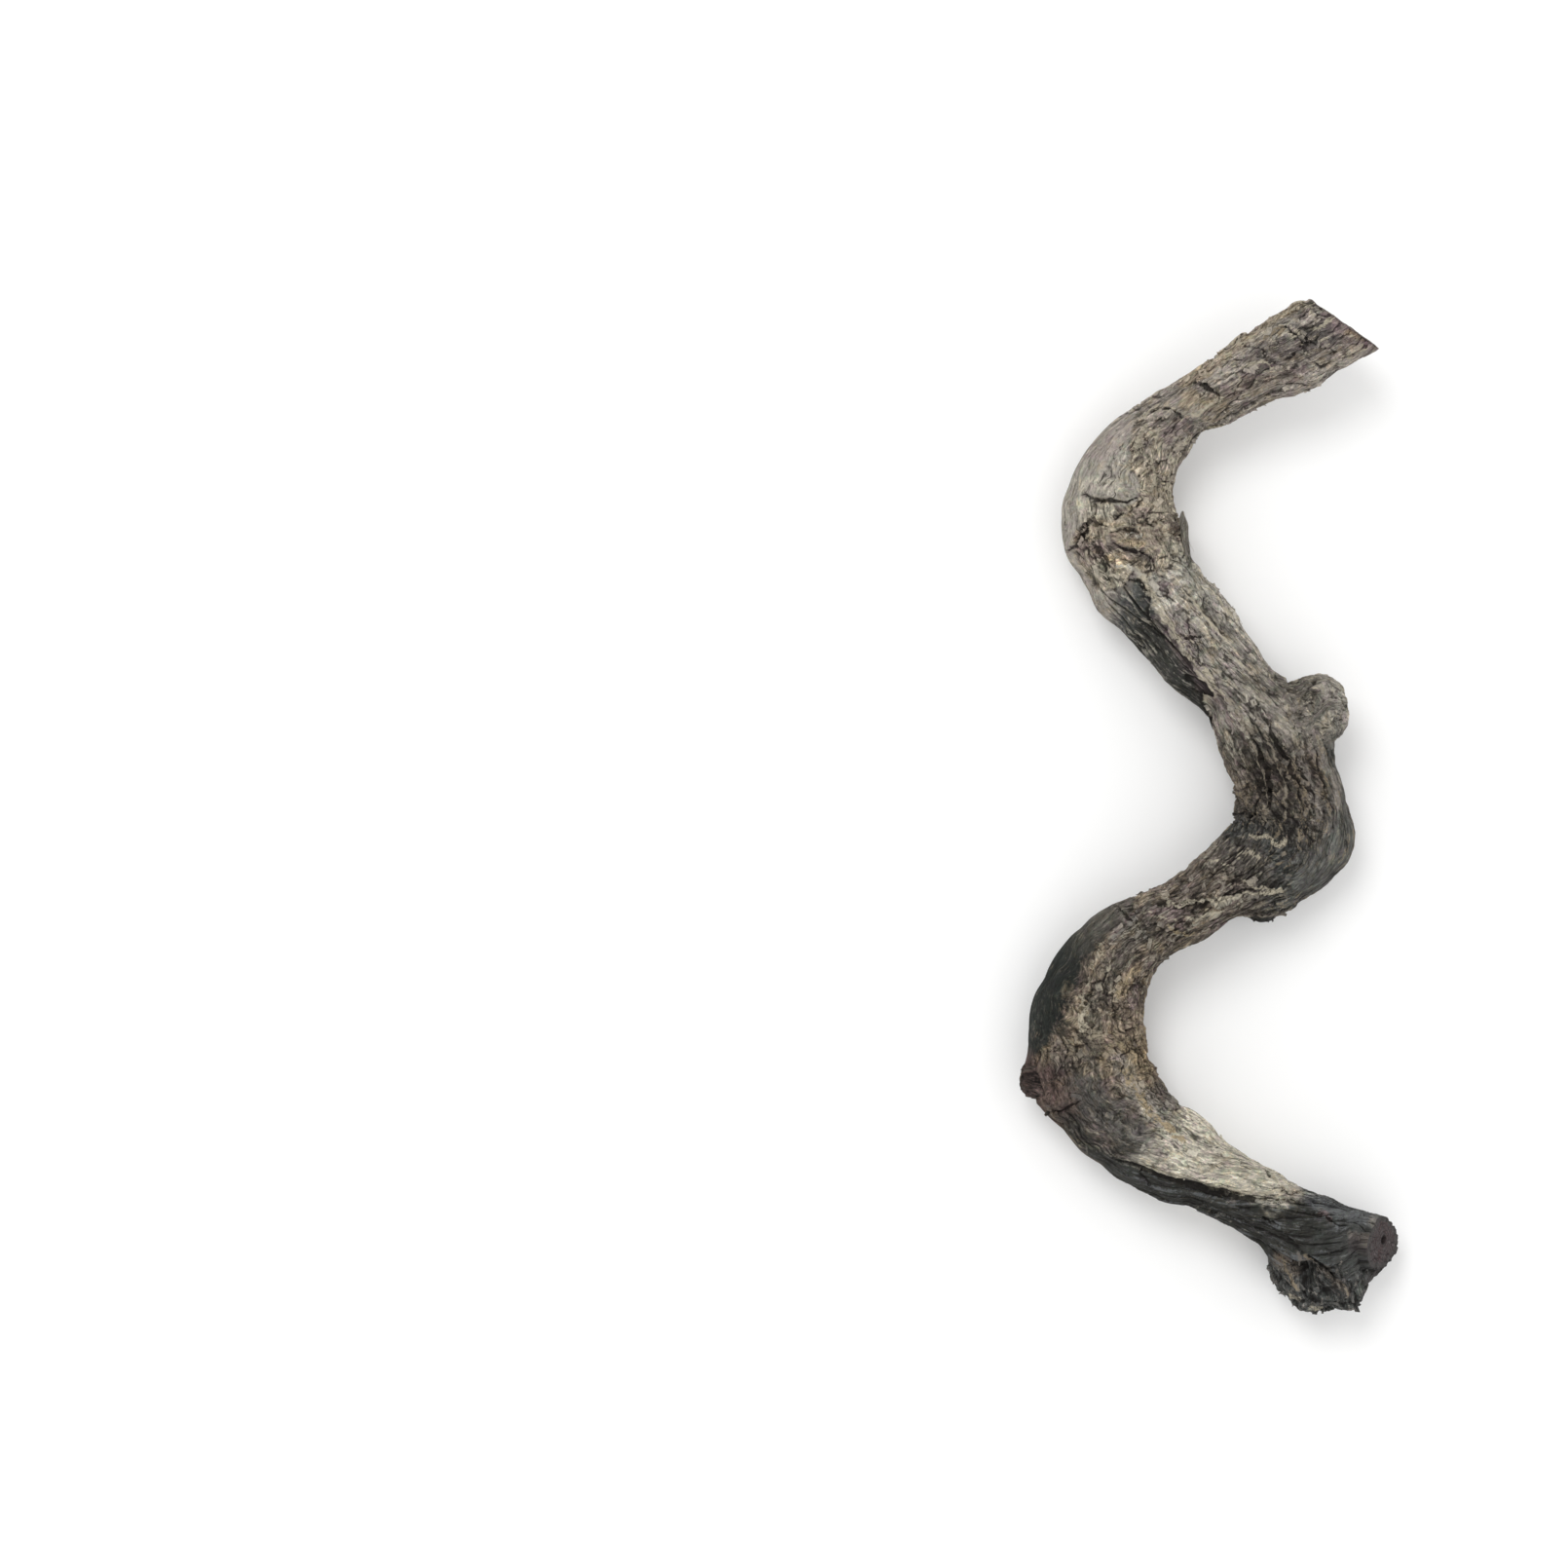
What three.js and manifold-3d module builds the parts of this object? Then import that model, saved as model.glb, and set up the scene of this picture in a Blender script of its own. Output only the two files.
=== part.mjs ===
// A driftwood climbing branch: an S-shaped grey stem with a saw cut at its upper end,
// a blunt side stub on its right, and a fork at its lower end.
// It lies on three worn bends. Millimetres, +Z up, origin on the floor below its middle.
import * as THREE from 'three';
import { mergeVertices } from 'three/addons/utils/BufferGeometryUtils.js';
import Module from 'manifold-3d';

const wasm = await Module();
wasm.setup();

// Driving dimensions. Plan places below are counted from a point that "planMiddle" puts in the
// middle of the branch's outline at the end.
const ringSpacing = 3.5;
const barkColumns = 15;
const bareColumns = 9;
const edgeWidth = 5;
const barkRelief = 0.9;
const bareRelief = 0.3;
const ridgeRelief = 0.5;
const partingGap = 0.3;
const lookAhead = 13;
const planMiddle = [0.5, -1.5];

// The stem from the saw cut down to the sawn fork. "at" is its middle in plan and "rise" the
// height of its middle. "bark" is the angle of the bark's edge, counted from the left-hand side
// (0) over the top (90) to the right-hand side (180), and "step" is how far the bark stands
// above the bare wood there. "under" is the same edge on the underside.
const stemStations = [
  { at: [46.6, 145.4], rise: 34.0, wide: 28.6, deep: 23.0, bark: 150, under: 250, step: 0.0 },
  { at: [36.8, 139.3], rise: 31.5, wide: 26.0, deep: 22.0, bark: 150, under: 250, step: 0.0 },
  { at: [25.6, 133.2], rise: 28.5, wide: 23.6, deep: 21.5, bark: 150, under: 245, step: 0.1 },
  { at: [7.8, 123.6], rise: 24.0, wide: 20.0, deep: 20.5, bark: 140, under: 240, step: 0.3 },
  { at: [-9.2, 113.1], rise: 19.5, wide: 18.8, deep: 21.0, bark: 125, under: 235, step: 0.5 },
  { at: [-19.1, 104.0], rise: 16.0, wide: 24.0, deep: 23.5, bark: 112, under: 230, step: 1.0 },
  { at: [-25.3, 92.8], rise: 14.0, wide: 31.0, deep: 26.5, bark: 104, under: 228, step: 1.0 },
  { at: [-25.4, 80.0], rise: 13.4, wide: 34.0, deep: 28.5, bark: 104, under: 228, step: 0.4 },
  { at: [-18.9, 66.4], rise: 14.6, wide: 33.0, deep: 28.0, bark: 98, under: 230, step: 0.9 },
  { at: [-9.4, 54.3], rise: 17.5, wide: 28.9, deep: 26.5, bark: 110, under: 232, step: 2.6 },
  { at: [-0.3, 41.8], rise: 20.0, wide: 26.2, deep: 25.5, bark: 119, under: 235, step: 2.6 },
  { at: [10.4, 28.6], rise: 20.0, wide: 23.8, deep: 26.0, bark: 130, under: 236, step: 2.0 },
  { at: [19.0, 15.1], rise: 17.0, wide: 29.4, deep: 28.0, bark: 122, under: 238, step: 1.2 },
  { at: [24.8, 1.0], rise: 14.5, wide: 33.4, deep: 30.0, bark: 104, under: 240, step: 1.0 },
  { at: [23.0, -12.8], rise: 14.6, wide: 35.4, deep: 30.0, bark: 104, under: 240, step: 0.6 },
  { at: [9.7, -21.6], rise: 18.5, wide: 25.4, deep: 26.0, bark: 118, under: 238, step: 0.1 },
  { at: [-6.0, -30.6], rise: 21.5, wide: 19.4, deep: 23.5, bark: 130, under: 235, step: 0.1 },
  { at: [-18.7, -37.4], rise: 20.0, wide: 21.9, deep: 24.5, bark: 126, under: 232, step: 0.6 },
  { at: [-28.9, -47.1], rise: 16.5, wide: 28.0, deep: 26.5, bark: 120, under: 230, step: 1.2 },
  { at: [-34.3, -59.4], rise: 14.0, wide: 31.6, deep: 28.0, bark: 116, under: 230, step: 1.3 },
  { at: [-34.9, -72.3], rise: 13.3, wide: 33.4, deep: 28.5, bark: 126, under: 232, step: 0.9 },
  { at: [-32.3, -82.3], rise: 14.2, wide: 33.0, deep: 28.0, bark: 136, under: 240, step: 0.6 },
  { at: [-26.1, -91.9], rise: 16.5, wide: 31.8, deep: 26.5, bark: 142, under: 250, step: 0.6 },
  { at: [-16.2, -99.6], rise: 19.0, wide: 26.6, deep: 25.0, bark: 126, under: 245, step: 1.3 },
  { at: [-4.0, -107.0], rise: 20.5, wide: 22.4, deep: 23.5, bark: 105, under: 235, step: 2.2 },
  { at: [8.0, -113.8], rise: 20.5, wide: 21.4, deep: 23.0, bark: 86, under: 215, step: 2.4 },
  { at: [21.2, -121.2], rise: 19.0, wide: 21.4, deep: 23.0, bark: 52, under: 190, step: 2.0 },
  { at: [34.6, -127.2], rise: 17.5, wide: 23.6, deep: 22.5, bark: 24, under: 165, step: 0.9 },
  { at: [45.6, -129.8], rise: 16.5, wide: 20.4, deep: 19.0, bark: 10, under: 150, step: 0.4 },
  { at: [60.0, -129.6], rise: 15.8, wide: 14.0, deep: 13.5, bark: 0, under: 140, step: 0.2 },
];

// The blunt stub on the right-hand side, and the broken fork that points down the floor.
const stubStations = [
  { at: [15.0, 22.0], rise: 19.5, wide: 23.0, deep: 24.0 },
  { at: [24.0, 25.0], rise: 20.0, wide: 21.0, deep: 23.0 },
  { at: [30.5, 27.1], rise: 20.0, wide: 18.8, deep: 20.5 },
  { at: [35.0, 28.2], rise: 19.8, wide: 17.6, deep: 18.0 },
  { at: [37.8, 28.8], rise: 19.5, wide: 14.8, deep: 14.5 },
  { at: [39.4, 29.1], rise: 19.5, wide: 10.0, deep: 9.5 },
];
const brokenStations = [
  { at: [28.5, -122.0], rise: 17.0, wide: 14.0, deep: 16.0 },
  { at: [29.6, -129.0], rise: 16.0, wide: 21.0, deep: 23.0 },
  { at: [31.2, -136.0], rise: 14.8, wide: 24.8, deep: 24.5 },
  { at: [33.8, -141.2], rise: 13.4, wide: 24.0, deep: 22.5 },
  { at: [36.0, -144.9], rise: 12.2, wide: 18.5, deep: 18.0 },
  { at: [37.2, -146.9], rise: 11.8, wide: 11.0, deep: 11.0 },
];

// Flat saw cuts. "turn" is the compass direction of the cut's face and "tilt" how far it looks up.
const upperCut = { at: [35.9, 140.0, 31.0], turn: 54.7, tilt: 10 };
const lowerCut = { at: [51.6, -128.4, 16.0], turn: -2, tilt: 36 };
const pithHole = { diameter: 2.0, depth: 5.0, across: 0.6, up: 1.2 };
const forkLine = { at: [27.5, -122.6, 18.5], turn: -22 };

// Round lumps fused to the stem: the smooth dark knob, its collar, and the lump under the bend.
const lumps = [
  { at: [-50.7, -82.2, 15.5], size: [5.2, 5.8, 5.4], turn: 20 },
  { at: [-46.5, -84.0, 15.0], size: [6.0, 8.5, 8.0], turn: 35 },
  { at: [16.6, -29.2, 10.5], size: [7.0, 5.8, 7.0], turn: 25 },
];

// The split sliver of bark that stands off the inside of the upper bend.
const sliver = { foot: [-5.2, 62.5, 19.0], tip: [-7.8, 85.2, 20.5], wide: 6.4, thick: 3.8 };

// The old scar where a twig grew over: a raised ring round a pit, on the top of the stem.
const scar = { at: [-27.5, 71.5, 27.0], ring: 7.5, rim: 1.3, pit: 1.8, spread: 3.6 };

// Long folds on the top of the stem: middle line in plan, height and half width.
const folds = [
  { line: [[12.6, -17.4], [2.0, -26.0], [-12.0, -29.8], [-22.0, -34.6]], high: 1.5, half: 2.2 },
  { line: [[16.0, -25.0], [6.0, -29.0], [-8.0, -34.4], [-18.0, -42.4]], high: 1.4, half: 2.0 },
  { line: [[23.4, 27.8], [29.6, 12.0], [33.0, -2.0], [30.0, -13.0]], high: 1.5, half: 2.4 },
  { line: [[15.4, 29.4], [22.8, 14.0], [26.6, 0.0], [25.2, -10.0]], high: 1.3, half: 2.2 },
  { line: [[-13.0, 63.4], [-4.0, 52.0], [7.0, 37.4], [14.6, 24.0]], high: 0.9, half: 2.4 },
  { line: [[36.0, 137.0], [22.0, 128.0], [8.0, 123.4], [-4.0, 118.0]], high: 1.1, half: 2.2 },
  { line: [[-31.6, -58.0], [-29.6, -76.0], [-20.0, -90.0], [-8.0, -99.6]], high: 0.9, half: 2.6 },
];

// Cracks cut down into the top: middle line in plan, greatest width, and the height of the bottom.
const cracks = [
  { line: [[-38.6, 89.4], [-33.0, 88.4], [-27.4, 87.0], [-21.6, 88.2]], wide: 1.5, bottom: 23.4 },
  { line: [[-38.2, 80.2], [-34.6, 80.0], [-30.0, 82.4]], wide: 1.4, bottom: 22.4 },
  { line: [[-41.0, 73.0], [-39.0, 78.0], [-36.6, 81.4]], wide: 1.4, bottom: 18.0 },
  { line: [[-6.4, 123.0], [-1.0, 120.0], [2.6, 117.0]], wide: 1.4, bottom: 28.0 },
  { line: [[-12.0, 114.4], [-9.4, 111.6]], wide: 1.2, bottom: 26.6 },
  { line: [[21.6, 128.4], [28.0, 127.6], [33.0, 129.8]], wide: 1.5, bottom: 33.0 },
  { line: [[-10.6, 47.6], [-6.4, 49.0], [-3.0, 48.4]], wide: 1.2, bottom: 27.4 },
  { line: [[-37.4, -66.2], [-34.0, -66.8], [-30.6, -66.0]], wide: 1.1, bottom: 24.8 },
  { line: [[14.6, -107.4], [17.2, -110.4], [19.4, -113.6]], wide: 1.3, bottom: 25.4 },
];

// A repeatable random number from 0 to 1 for each whole-number place.
function lattice(a, b) {
  const wave = Math.sin(a * 127.1 + b * 311.7) * 43758.5453;
  return wave - Math.floor(wave);
}

function ease(t) {
  return t * t * (3 - 2 * t);
}

// Smooth random relief from -1 to 1.
function roughness(a, b) {
  const i = Math.floor(a);
  const j = Math.floor(b);
  const u = ease(a - i);
  const v = ease(b - j);
  const low = lattice(i, j) * (1 - u) + lattice(i + 1, j) * u;
  const high = lattice(i, j + 1) * (1 - u) + lattice(i + 1, j + 1) * u;
  return 2 * (low * (1 - v) + high * v) - 1;
}

function toLine(point, line) {
  let nearest = Infinity;
  for (let i = 0; i + 1 < line.length; i++) {
    const start = new THREE.Vector2(...line[i]);
    const run = new THREE.Vector2(...line[i + 1]).sub(start);
    const along = point.clone().sub(start).dot(run) / run.lengthSq();
    const foot = start.clone().addScaledVector(run, THREE.MathUtils.clamp(along, 0, 1));
    nearest = Math.min(nearest, foot.distanceTo(point));
  }
  return nearest;
}

// A smooth curve through one value of every station.
function through(stations, first, second, third) {
  const points = stations.map((s) => new THREE.Vector3(first(s), second(s), third(s)));
  return new THREE.CatmullRomCurve3(points, false, 'catmullrom', 0.5);
}

function makeAxis(stations) {
  const path = through(stations, (s) => s.at[0], (s) => s.at[1], (s) => s.rise);
  const sizes = through(stations, (s) => s.wide, (s) => s.deep, (s) => s.step ?? 0);
  const edges = through(stations, (s) => s.bark ?? 90, (s) => s.under ?? 270, () => 0);
  return { path, sizes, edges, length: path.getLength(), last: stations.length - 1 };
}

// The middle, the directions and the sizes of the section at "u" of the way along.
function sectionAt(axis, u) {
  const t = axis.path.getUtoTmapping(u);
  const middle = axis.path.getPoint(t);
  const reach = lookAhead / axis.length;
  const before = axis.path.getPointAt(Math.max(u - reach, 0));
  const ahead = axis.path.getPointAt(Math.min(u + reach, 1)).sub(before).normalize();
  const left = new THREE.Vector3(0, 0, 1).cross(ahead).normalize();
  const up = ahead.clone().cross(left);
  const size = axis.sizes.getPoint(t);
  const edge = axis.edges.getPoint(t);
  return {
    middle, left, up, station: t * axis.last,
    wide: size.x, deep: size.y, step: Math.max(size.z, 0), bark: edge.x, under: edge.y,
  };
}

// The angles of a section's points, from the bark's edge over the bare wood and back round
// under the bark. The two close pairs make the step at each edge crisp.
function sectionAngles(section) {
  const angles = [];
  const bare = section.under - section.bark - edgeWidth;
  const bark = 360 - (section.under - section.bark) - edgeWidth;
  for (let i = 0; i <= bareColumns; i++) {
    angles.push({ angle: section.bark + edgeWidth + (bare * i) / bareColumns, bark: false });
  }
  for (let i = 0; i <= barkColumns; i++) {
    angles.push({ angle: section.under + edgeWidth + (bark * i) / barkColumns, bark: true });
  }
  return angles;
}

function foldRelief(point) {
  const flat = new THREE.Vector2(point.x, point.y);
  let relief = 0;
  for (const fold of folds) {
    const away = toLine(flat, fold.line) / fold.half;
    relief += fold.high * Math.exp(-away * away);
  }
  return relief;
}

function scarRelief(point) {
  const away = point.distanceTo(new THREE.Vector3(...scar.at));
  const rim = scar.rim * Math.exp(-(((away - scar.ring) / scar.spread) ** 2));
  return rim - scar.pit * Math.exp(-((away / scar.spread) ** 2));
}

// How far each point of the stem's section stands from the plain oval.
function stemRelief(section, column, index, point) {
  const rough = column.bark ? barkRelief : bareRelief;
  let relief = rough * roughness(section.station * 1.1, index * 0.9);
  relief += column.bark ? ridgeRelief * (index % 2) : -section.step;
  if (point.z > section.middle.z) {
    relief += foldRelief(point) + scarRelief(point);
  }
  return relief;
}

// The stub and the broken fork are lumpy all round, more so towards the broken end.
function knobRelief(amount) {
  return (section, column, index) => amount * roughness(section.station * 1.7 + 40, index * 1.1);
}

// One ring of points: an oval, then its relief. The bare side starts wider by the step, so that
// the stem keeps its true width where the bare wood reaches its side.
function ringPoints(section, relief, grow) {
  return sectionAngles(section).map((column, index) => {
    const angle = THREE.MathUtils.degToRad(column.angle);
    const side = section.wide / 2 + (column.bark ? 0 : section.step);
    const out = section.left.clone().multiplyScalar(Math.cos(angle) * side);
    out.addScaledVector(section.up, (Math.sin(angle) * section.deep) / 2);
    const point = section.middle.clone().add(out);
    point.addScaledVector(out.normalize(), relief(section, column, index, point) + grow);
    point.z = Math.max(point.z, -grow);
    return point;
  });
}

// A closed solid through rings of points, with a middle point at each end.
function sweep(stations, relief, grow = 0) {
  const axis = makeAxis(stations);
  const count = Math.round(axis.length / ringSpacing);
  const points = [];
  for (let i = 0; i <= count; i++) {
    points.push(...ringPoints(sectionAt(axis, i / count), relief, grow));
  }
  const around = points.length / (count + 1);
  const faces = [];
  for (let i = 0; i < count; i++) {
    for (let j = 0; j < around; j++) {
      const a = i * around + j;
      const b = i * around + ((j + 1) % around);
      faces.push(a, b, a + around, b, b + around, a + around);
    }
  }
  const start = points.length;
  points.push(sectionAt(axis, 0).middle, sectionAt(axis, 1).middle);
  for (let j = 0; j < around; j++) {
    const next = (j + 1) % around;
    faces.push(start, next, j);
    faces.push(start + 1, count * around + j, count * around + next);
  }
  const geometry = new THREE.BufferGeometry().setFromPoints(points);
  geometry.setIndex(faces);
  return geometry;
}

// three.js geometry to a solid that can be joined and cut, and back again.
function toSolid(geometry) {
  const bare = geometry.clone();
  bare.deleteAttribute('normal');
  bare.deleteAttribute('uv');
  const merged = mergeVertices(bare, 1e-4);
  return new wasm.Manifold(new wasm.Mesh({
    numProp: 3,
    vertProperties: new Float32Array(merged.attributes.position.array),
    triVerts: new Uint32Array(merged.index.array),
  }));
}

function toGeometry(solid) {
  const mesh = solid.getMesh();
  const geometry = new THREE.BufferGeometry();
  geometry.setAttribute('position', new THREE.BufferAttribute(mesh.vertProperties, 3));
  geometry.setIndex(new THREE.BufferAttribute(mesh.triVerts, 1));
  geometry.computeVertexNormals();
  return geometry;
}

// Everything beyond a flat cut: a large block whose near face is the cut.
function beyond({ at, turn, tilt = 0 }, back = 0) {
  const reach = 90;
  const block = new THREE.BoxGeometry(reach, reach, reach).translate(reach / 2 + back, 0, 0);
  block.rotateY(THREE.MathUtils.degToRad(-tilt));
  block.rotateZ(THREE.MathUtils.degToRad(turn));
  return toSolid(block.translate(...at));
}

function makeLump({ at, size, turn }) {
  const lump = new THREE.SphereGeometry(1, 12, 8).scale(...size);
  lump.rotateZ(THREE.MathUtils.degToRad(turn));
  return toSolid(lump.translate(...at));
}

function makeSliver() {
  const foot = new THREE.Vector3(...sliver.foot);
  const rise = new THREE.Vector3(...sliver.tip).sub(foot);
  const spike = new THREE.ConeGeometry(0.5, rise.length(), 7, 3);
  spike.translate(0, rise.length() / 2, 0).scale(sliver.thick, 1, sliver.wide);
  spike.applyQuaternion(
    new THREE.Quaternion().setFromUnitVectors(new THREE.Vector3(0, 1, 0), rise.normalize()),
  );
  return toSolid(spike.translate(...sliver.foot));
}

// A crack is a spindle-shaped slot in plan, open at the top.
function makeCrack({ line, wide, bottom }) {
  const middle = new THREE.SplineCurve(line.map((p) => new THREE.Vector2(...p)));
  const steps = 4 * (line.length - 1);
  const near = [];
  const far = [];
  for (let i = 1; i < steps; i++) {
    const at = middle.getPoint(i / steps);
    const side = middle.getTangent(i / steps).rotateAround(new THREE.Vector2(), Math.PI / 2);
    const half = (wide / 2) * Math.sin((Math.PI * i) / steps) ** 0.6;
    near.push(at.clone().addScaledVector(side, half));
    far.unshift(at.clone().addScaledVector(side, -half));
  }
  const outline = [middle.getPoint(0), ...near, middle.getPoint(1), ...far];
  const slot = new THREE.ExtrudeGeometry(new THREE.Shape(outline), { depth: 30, bevelEnabled: false });
  return toSolid(slot.translate(0, 0, bottom));
}

function makePithHole() {
  const { diameter, depth, across, up } = pithHole;
  const hole = new THREE.CylinderGeometry(diameter / 2, diameter / 2, 2 * depth, 10);
  hole.rotateZ(Math.PI / 2).translate(0, across, up);
  hole.rotateY(THREE.MathUtils.degToRad(-lowerCut.tilt));
  hole.rotateZ(THREE.MathUtils.degToRad(lowerCut.turn));
  return toSolid(hole.translate(...lowerCut.at));
}

const wholeStem = toSolid(sweep(stemStations, stemRelief));
const stemWithGap = toSolid(sweep(stemStations, stemRelief, partingGap));

function makeStem() {
  let stem = wholeStem.subtract(beyond(upperCut)).subtract(beyond(forkLine));
  for (const lump of lumps) {
    stem = stem.add(makeLump(lump));
  }
  stem = stem.add(makeSliver());
  for (const crack of cracks) {
    stem = stem.subtract(makeCrack(crack));
  }
  return stem;
}

function makeSawnFork() {
  const kept = wholeStem.intersect(beyond(forkLine, partingGap));
  return kept.subtract(beyond(lowerCut)).subtract(makePithHole());
}

// What a limb shows outside the stem, without the crumbs that the cut leaves.
function outsideStem(limb) {
  const bodies = limb.subtract(stemWithGap).decompose();
  return bodies.sort((a, b) => b.volume() - a.volume())[0];
}

function makeStub() {
  return outsideStem(toSolid(sweep(stubStations, knobRelief(0.8))));
}

function makeBrokenFork() {
  return outsideStem(toSolid(sweep(brokenStations, knobRelief(1.6))));
}

function piece(name, solid, color) {
  const material = new THREE.MeshStandardMaterial({ color, roughness: 0.85, metalness: 0 });
  const mesh = new THREE.Mesh(toGeometry(solid), material);
  mesh.name = name;
  return mesh;
}

const branch = new THREE.Group();
branch.add(piece('main_stem', makeStem(), 0x857c70));
branch.add(piece('side_stub', makeStub(), 0x7a766e));
branch.add(piece('sawn_fork', makeSawnFork(), 0x474747));
branch.add(piece('broken_fork', makeBrokenFork(), 0x4a4640));
branch.position.set(-planMiddle[0], -planMiddle[1], 0);

export default branch;
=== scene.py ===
import itertools
import math
import bpy
import numpy as np
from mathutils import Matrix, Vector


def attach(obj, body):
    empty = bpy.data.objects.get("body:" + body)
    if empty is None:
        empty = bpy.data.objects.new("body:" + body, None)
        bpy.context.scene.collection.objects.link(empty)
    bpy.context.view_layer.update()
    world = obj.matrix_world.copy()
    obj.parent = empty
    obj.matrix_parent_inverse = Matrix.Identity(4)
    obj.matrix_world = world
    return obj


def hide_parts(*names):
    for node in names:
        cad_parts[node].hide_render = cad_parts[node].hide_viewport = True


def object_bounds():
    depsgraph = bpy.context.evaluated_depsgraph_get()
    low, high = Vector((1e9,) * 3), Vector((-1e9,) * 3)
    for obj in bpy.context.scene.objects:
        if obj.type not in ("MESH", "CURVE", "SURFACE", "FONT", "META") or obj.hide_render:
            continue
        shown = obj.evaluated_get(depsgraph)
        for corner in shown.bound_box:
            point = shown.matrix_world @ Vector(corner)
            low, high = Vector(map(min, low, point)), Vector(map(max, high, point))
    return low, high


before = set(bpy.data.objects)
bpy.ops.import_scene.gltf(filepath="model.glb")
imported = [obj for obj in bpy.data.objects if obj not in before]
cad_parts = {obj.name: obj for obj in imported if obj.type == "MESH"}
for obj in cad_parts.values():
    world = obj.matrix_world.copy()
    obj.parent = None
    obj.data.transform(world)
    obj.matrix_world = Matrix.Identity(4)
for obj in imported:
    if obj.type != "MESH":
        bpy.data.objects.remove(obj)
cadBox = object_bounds()
scene = bpy.context.scene
print("frame loaded")

# Sizes below are millimetres, counted from the same plan point as the solids. Meshes are metres.
metre = 0.001
planMiddle = np.array([0.5, -1.5, 0.0])
boxGap = 0.02              # what the skins keep inside the solids' box
boxLow = np.array(cadBox[0]) / metre + planMiddle + (boxGap, boxGap, 0)
boxHigh = np.array(cadBox[1]) / metre + planMiddle - boxGap

photoView = {
    "middle": (-125.1, 7.2),   # the point of the floor below the camera
    "height": 1200.0,
    "frameWidth": 460.0,       # what the picture's width takes in
    "subjectHeight": 15.0,     # at this height above the floor
    "sensor": 36.0,
}
lighting = {
    "world": (1.0, 1.0, 1.0), "worldStrength": 0.92,
    "key": {"at": (-420, 560, 1200), "size": 650, "power": 5.6},
    "fill": {"at": (520, -420, 1300), "size": 1300, "power": 1.5},
    "floor": (0.95, 0.95, 0.945),
    "floorHalf": 4.0,          # metres, as the next one
    "floorBelow": 0.0002,
}


def ramp(low, high, value):
    part = np.clip((value - low) / (high - low), 0, 1)
    return part * part * (3 - 2 * part)


def srgb(red, green, blue):
    shares = np.array([red, green, blue]) / 255
    return np.where(shares <= 0.04045, shares / 12.92, ((shares + 0.055) / 1.055) ** 2.4)


def unit(vectors):
    return vectors / np.maximum(np.linalg.norm(vectors, axis=-1, keepdims=True), 1e-9)


tableSize = 256      # of the shuffled tables that the noises draw from; a power of two


# A place in a shuffled table for each whole-number cell.
def cellPick(order, cell):
    wrap = tableSize - 1
    place = cell & wrap
    pick = order[(order[place[..., 0]] + place[..., 1]) & wrap]
    return order[(pick + place[..., 2]) & wrap]


# Repeatable smooth noise, about -1 to 1, at many points at once.
def makeNoise(seed):
    chance = np.random.default_rng(seed)
    order = chance.permutation(tableSize)
    slopes = unit(chance.normal(size=(tableSize, 3)))

    def noise(points):
        cell = np.floor(points).astype(np.int64)
        inside = points - cell
        fade = inside ** 3 * (inside * (inside * 6 - 15) + 10)
        total = np.zeros(points.shape[:-1])
        for corner in itertools.product((0, 1), repeat=3):
            slope = slopes[cellPick(order, cell + corner)]
            reach = np.sum(slope * (inside - corner), axis=-1)
            total += reach * np.prod(np.where(corner, fade, 1 - fade), axis=-1)
        return total * 1.6

    return noise


# Irregular plates: each cell has its own height and lean, so that neighbours meet in a step.
# Gives the height, about -1 to 1, and how far inside the plate a point lies.
def makePlates(seed):
    chance = np.random.default_rng(seed)
    order = chance.permutation(tableSize)
    jitter = chance.random((tableSize, 3))
    lean = chance.normal(size=(tableSize, 3)) * 0.8
    level = chance.uniform(-0.8, 0.8, tableSize)

    def plates(points):
        cell = np.floor(points).astype(np.int64)
        inside = points - cell
        height = np.zeros(points.shape[:-1])
        nearest = np.full(points.shape[:-1], 9.0)
        second = nearest.copy()
        for corner in itertools.product((-1, 0, 1), repeat=3):
            pick = cellPick(order, cell + corner)
            away = inside - corner - jitter[pick]
            gap = np.sum(away * away, axis=-1)
            closer = gap < nearest
            second = np.where(closer, nearest, np.minimum(second, gap))
            height = np.where(closer, level[pick] + np.sum(lean[pick] * away, axis=-1), height)
            nearest = np.where(closer, gap, nearest)
        return height, np.sqrt(second) - np.sqrt(nearest)

    return plates


noiseSeeds = {
    "warpX": 11, "warpY": 12, "warpZ": 13, "lump": 14, "fibre": 15, "crumb": 16, "dent": 17, "line": 18,
    "planX": 20, "planY": 21, "broken": 22, "patch": 23, "warm": 24, "ragged": 25, "saw": 26, "shade": 27,
}
noises = {name: makeNoise(seed) for name, seed in noiseSeeds.items()}
broadPlates = makePlates(41)
smallPlates = makePlates(42)


def layered(name, points, octaves, rough=0.5):
    total, share, size = 0, 0, 1
    for octave in range(octaves):
        total = total + size * noises[name](points * 2 ** octave + 31.7 * octave)
        share += size
        size *= rough
    return total / share


# Several noises at once, as coordinates.
def together(names, points):
    return np.stack([noises[name](points) for name in names], axis=-1)


# 1 along thin crests of the noise and falling off to both sides.
def crests(name, points, octaves):
    return 1 - np.minimum(np.abs(layered(name, points, octaves)) * 2.4, 1)


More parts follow.
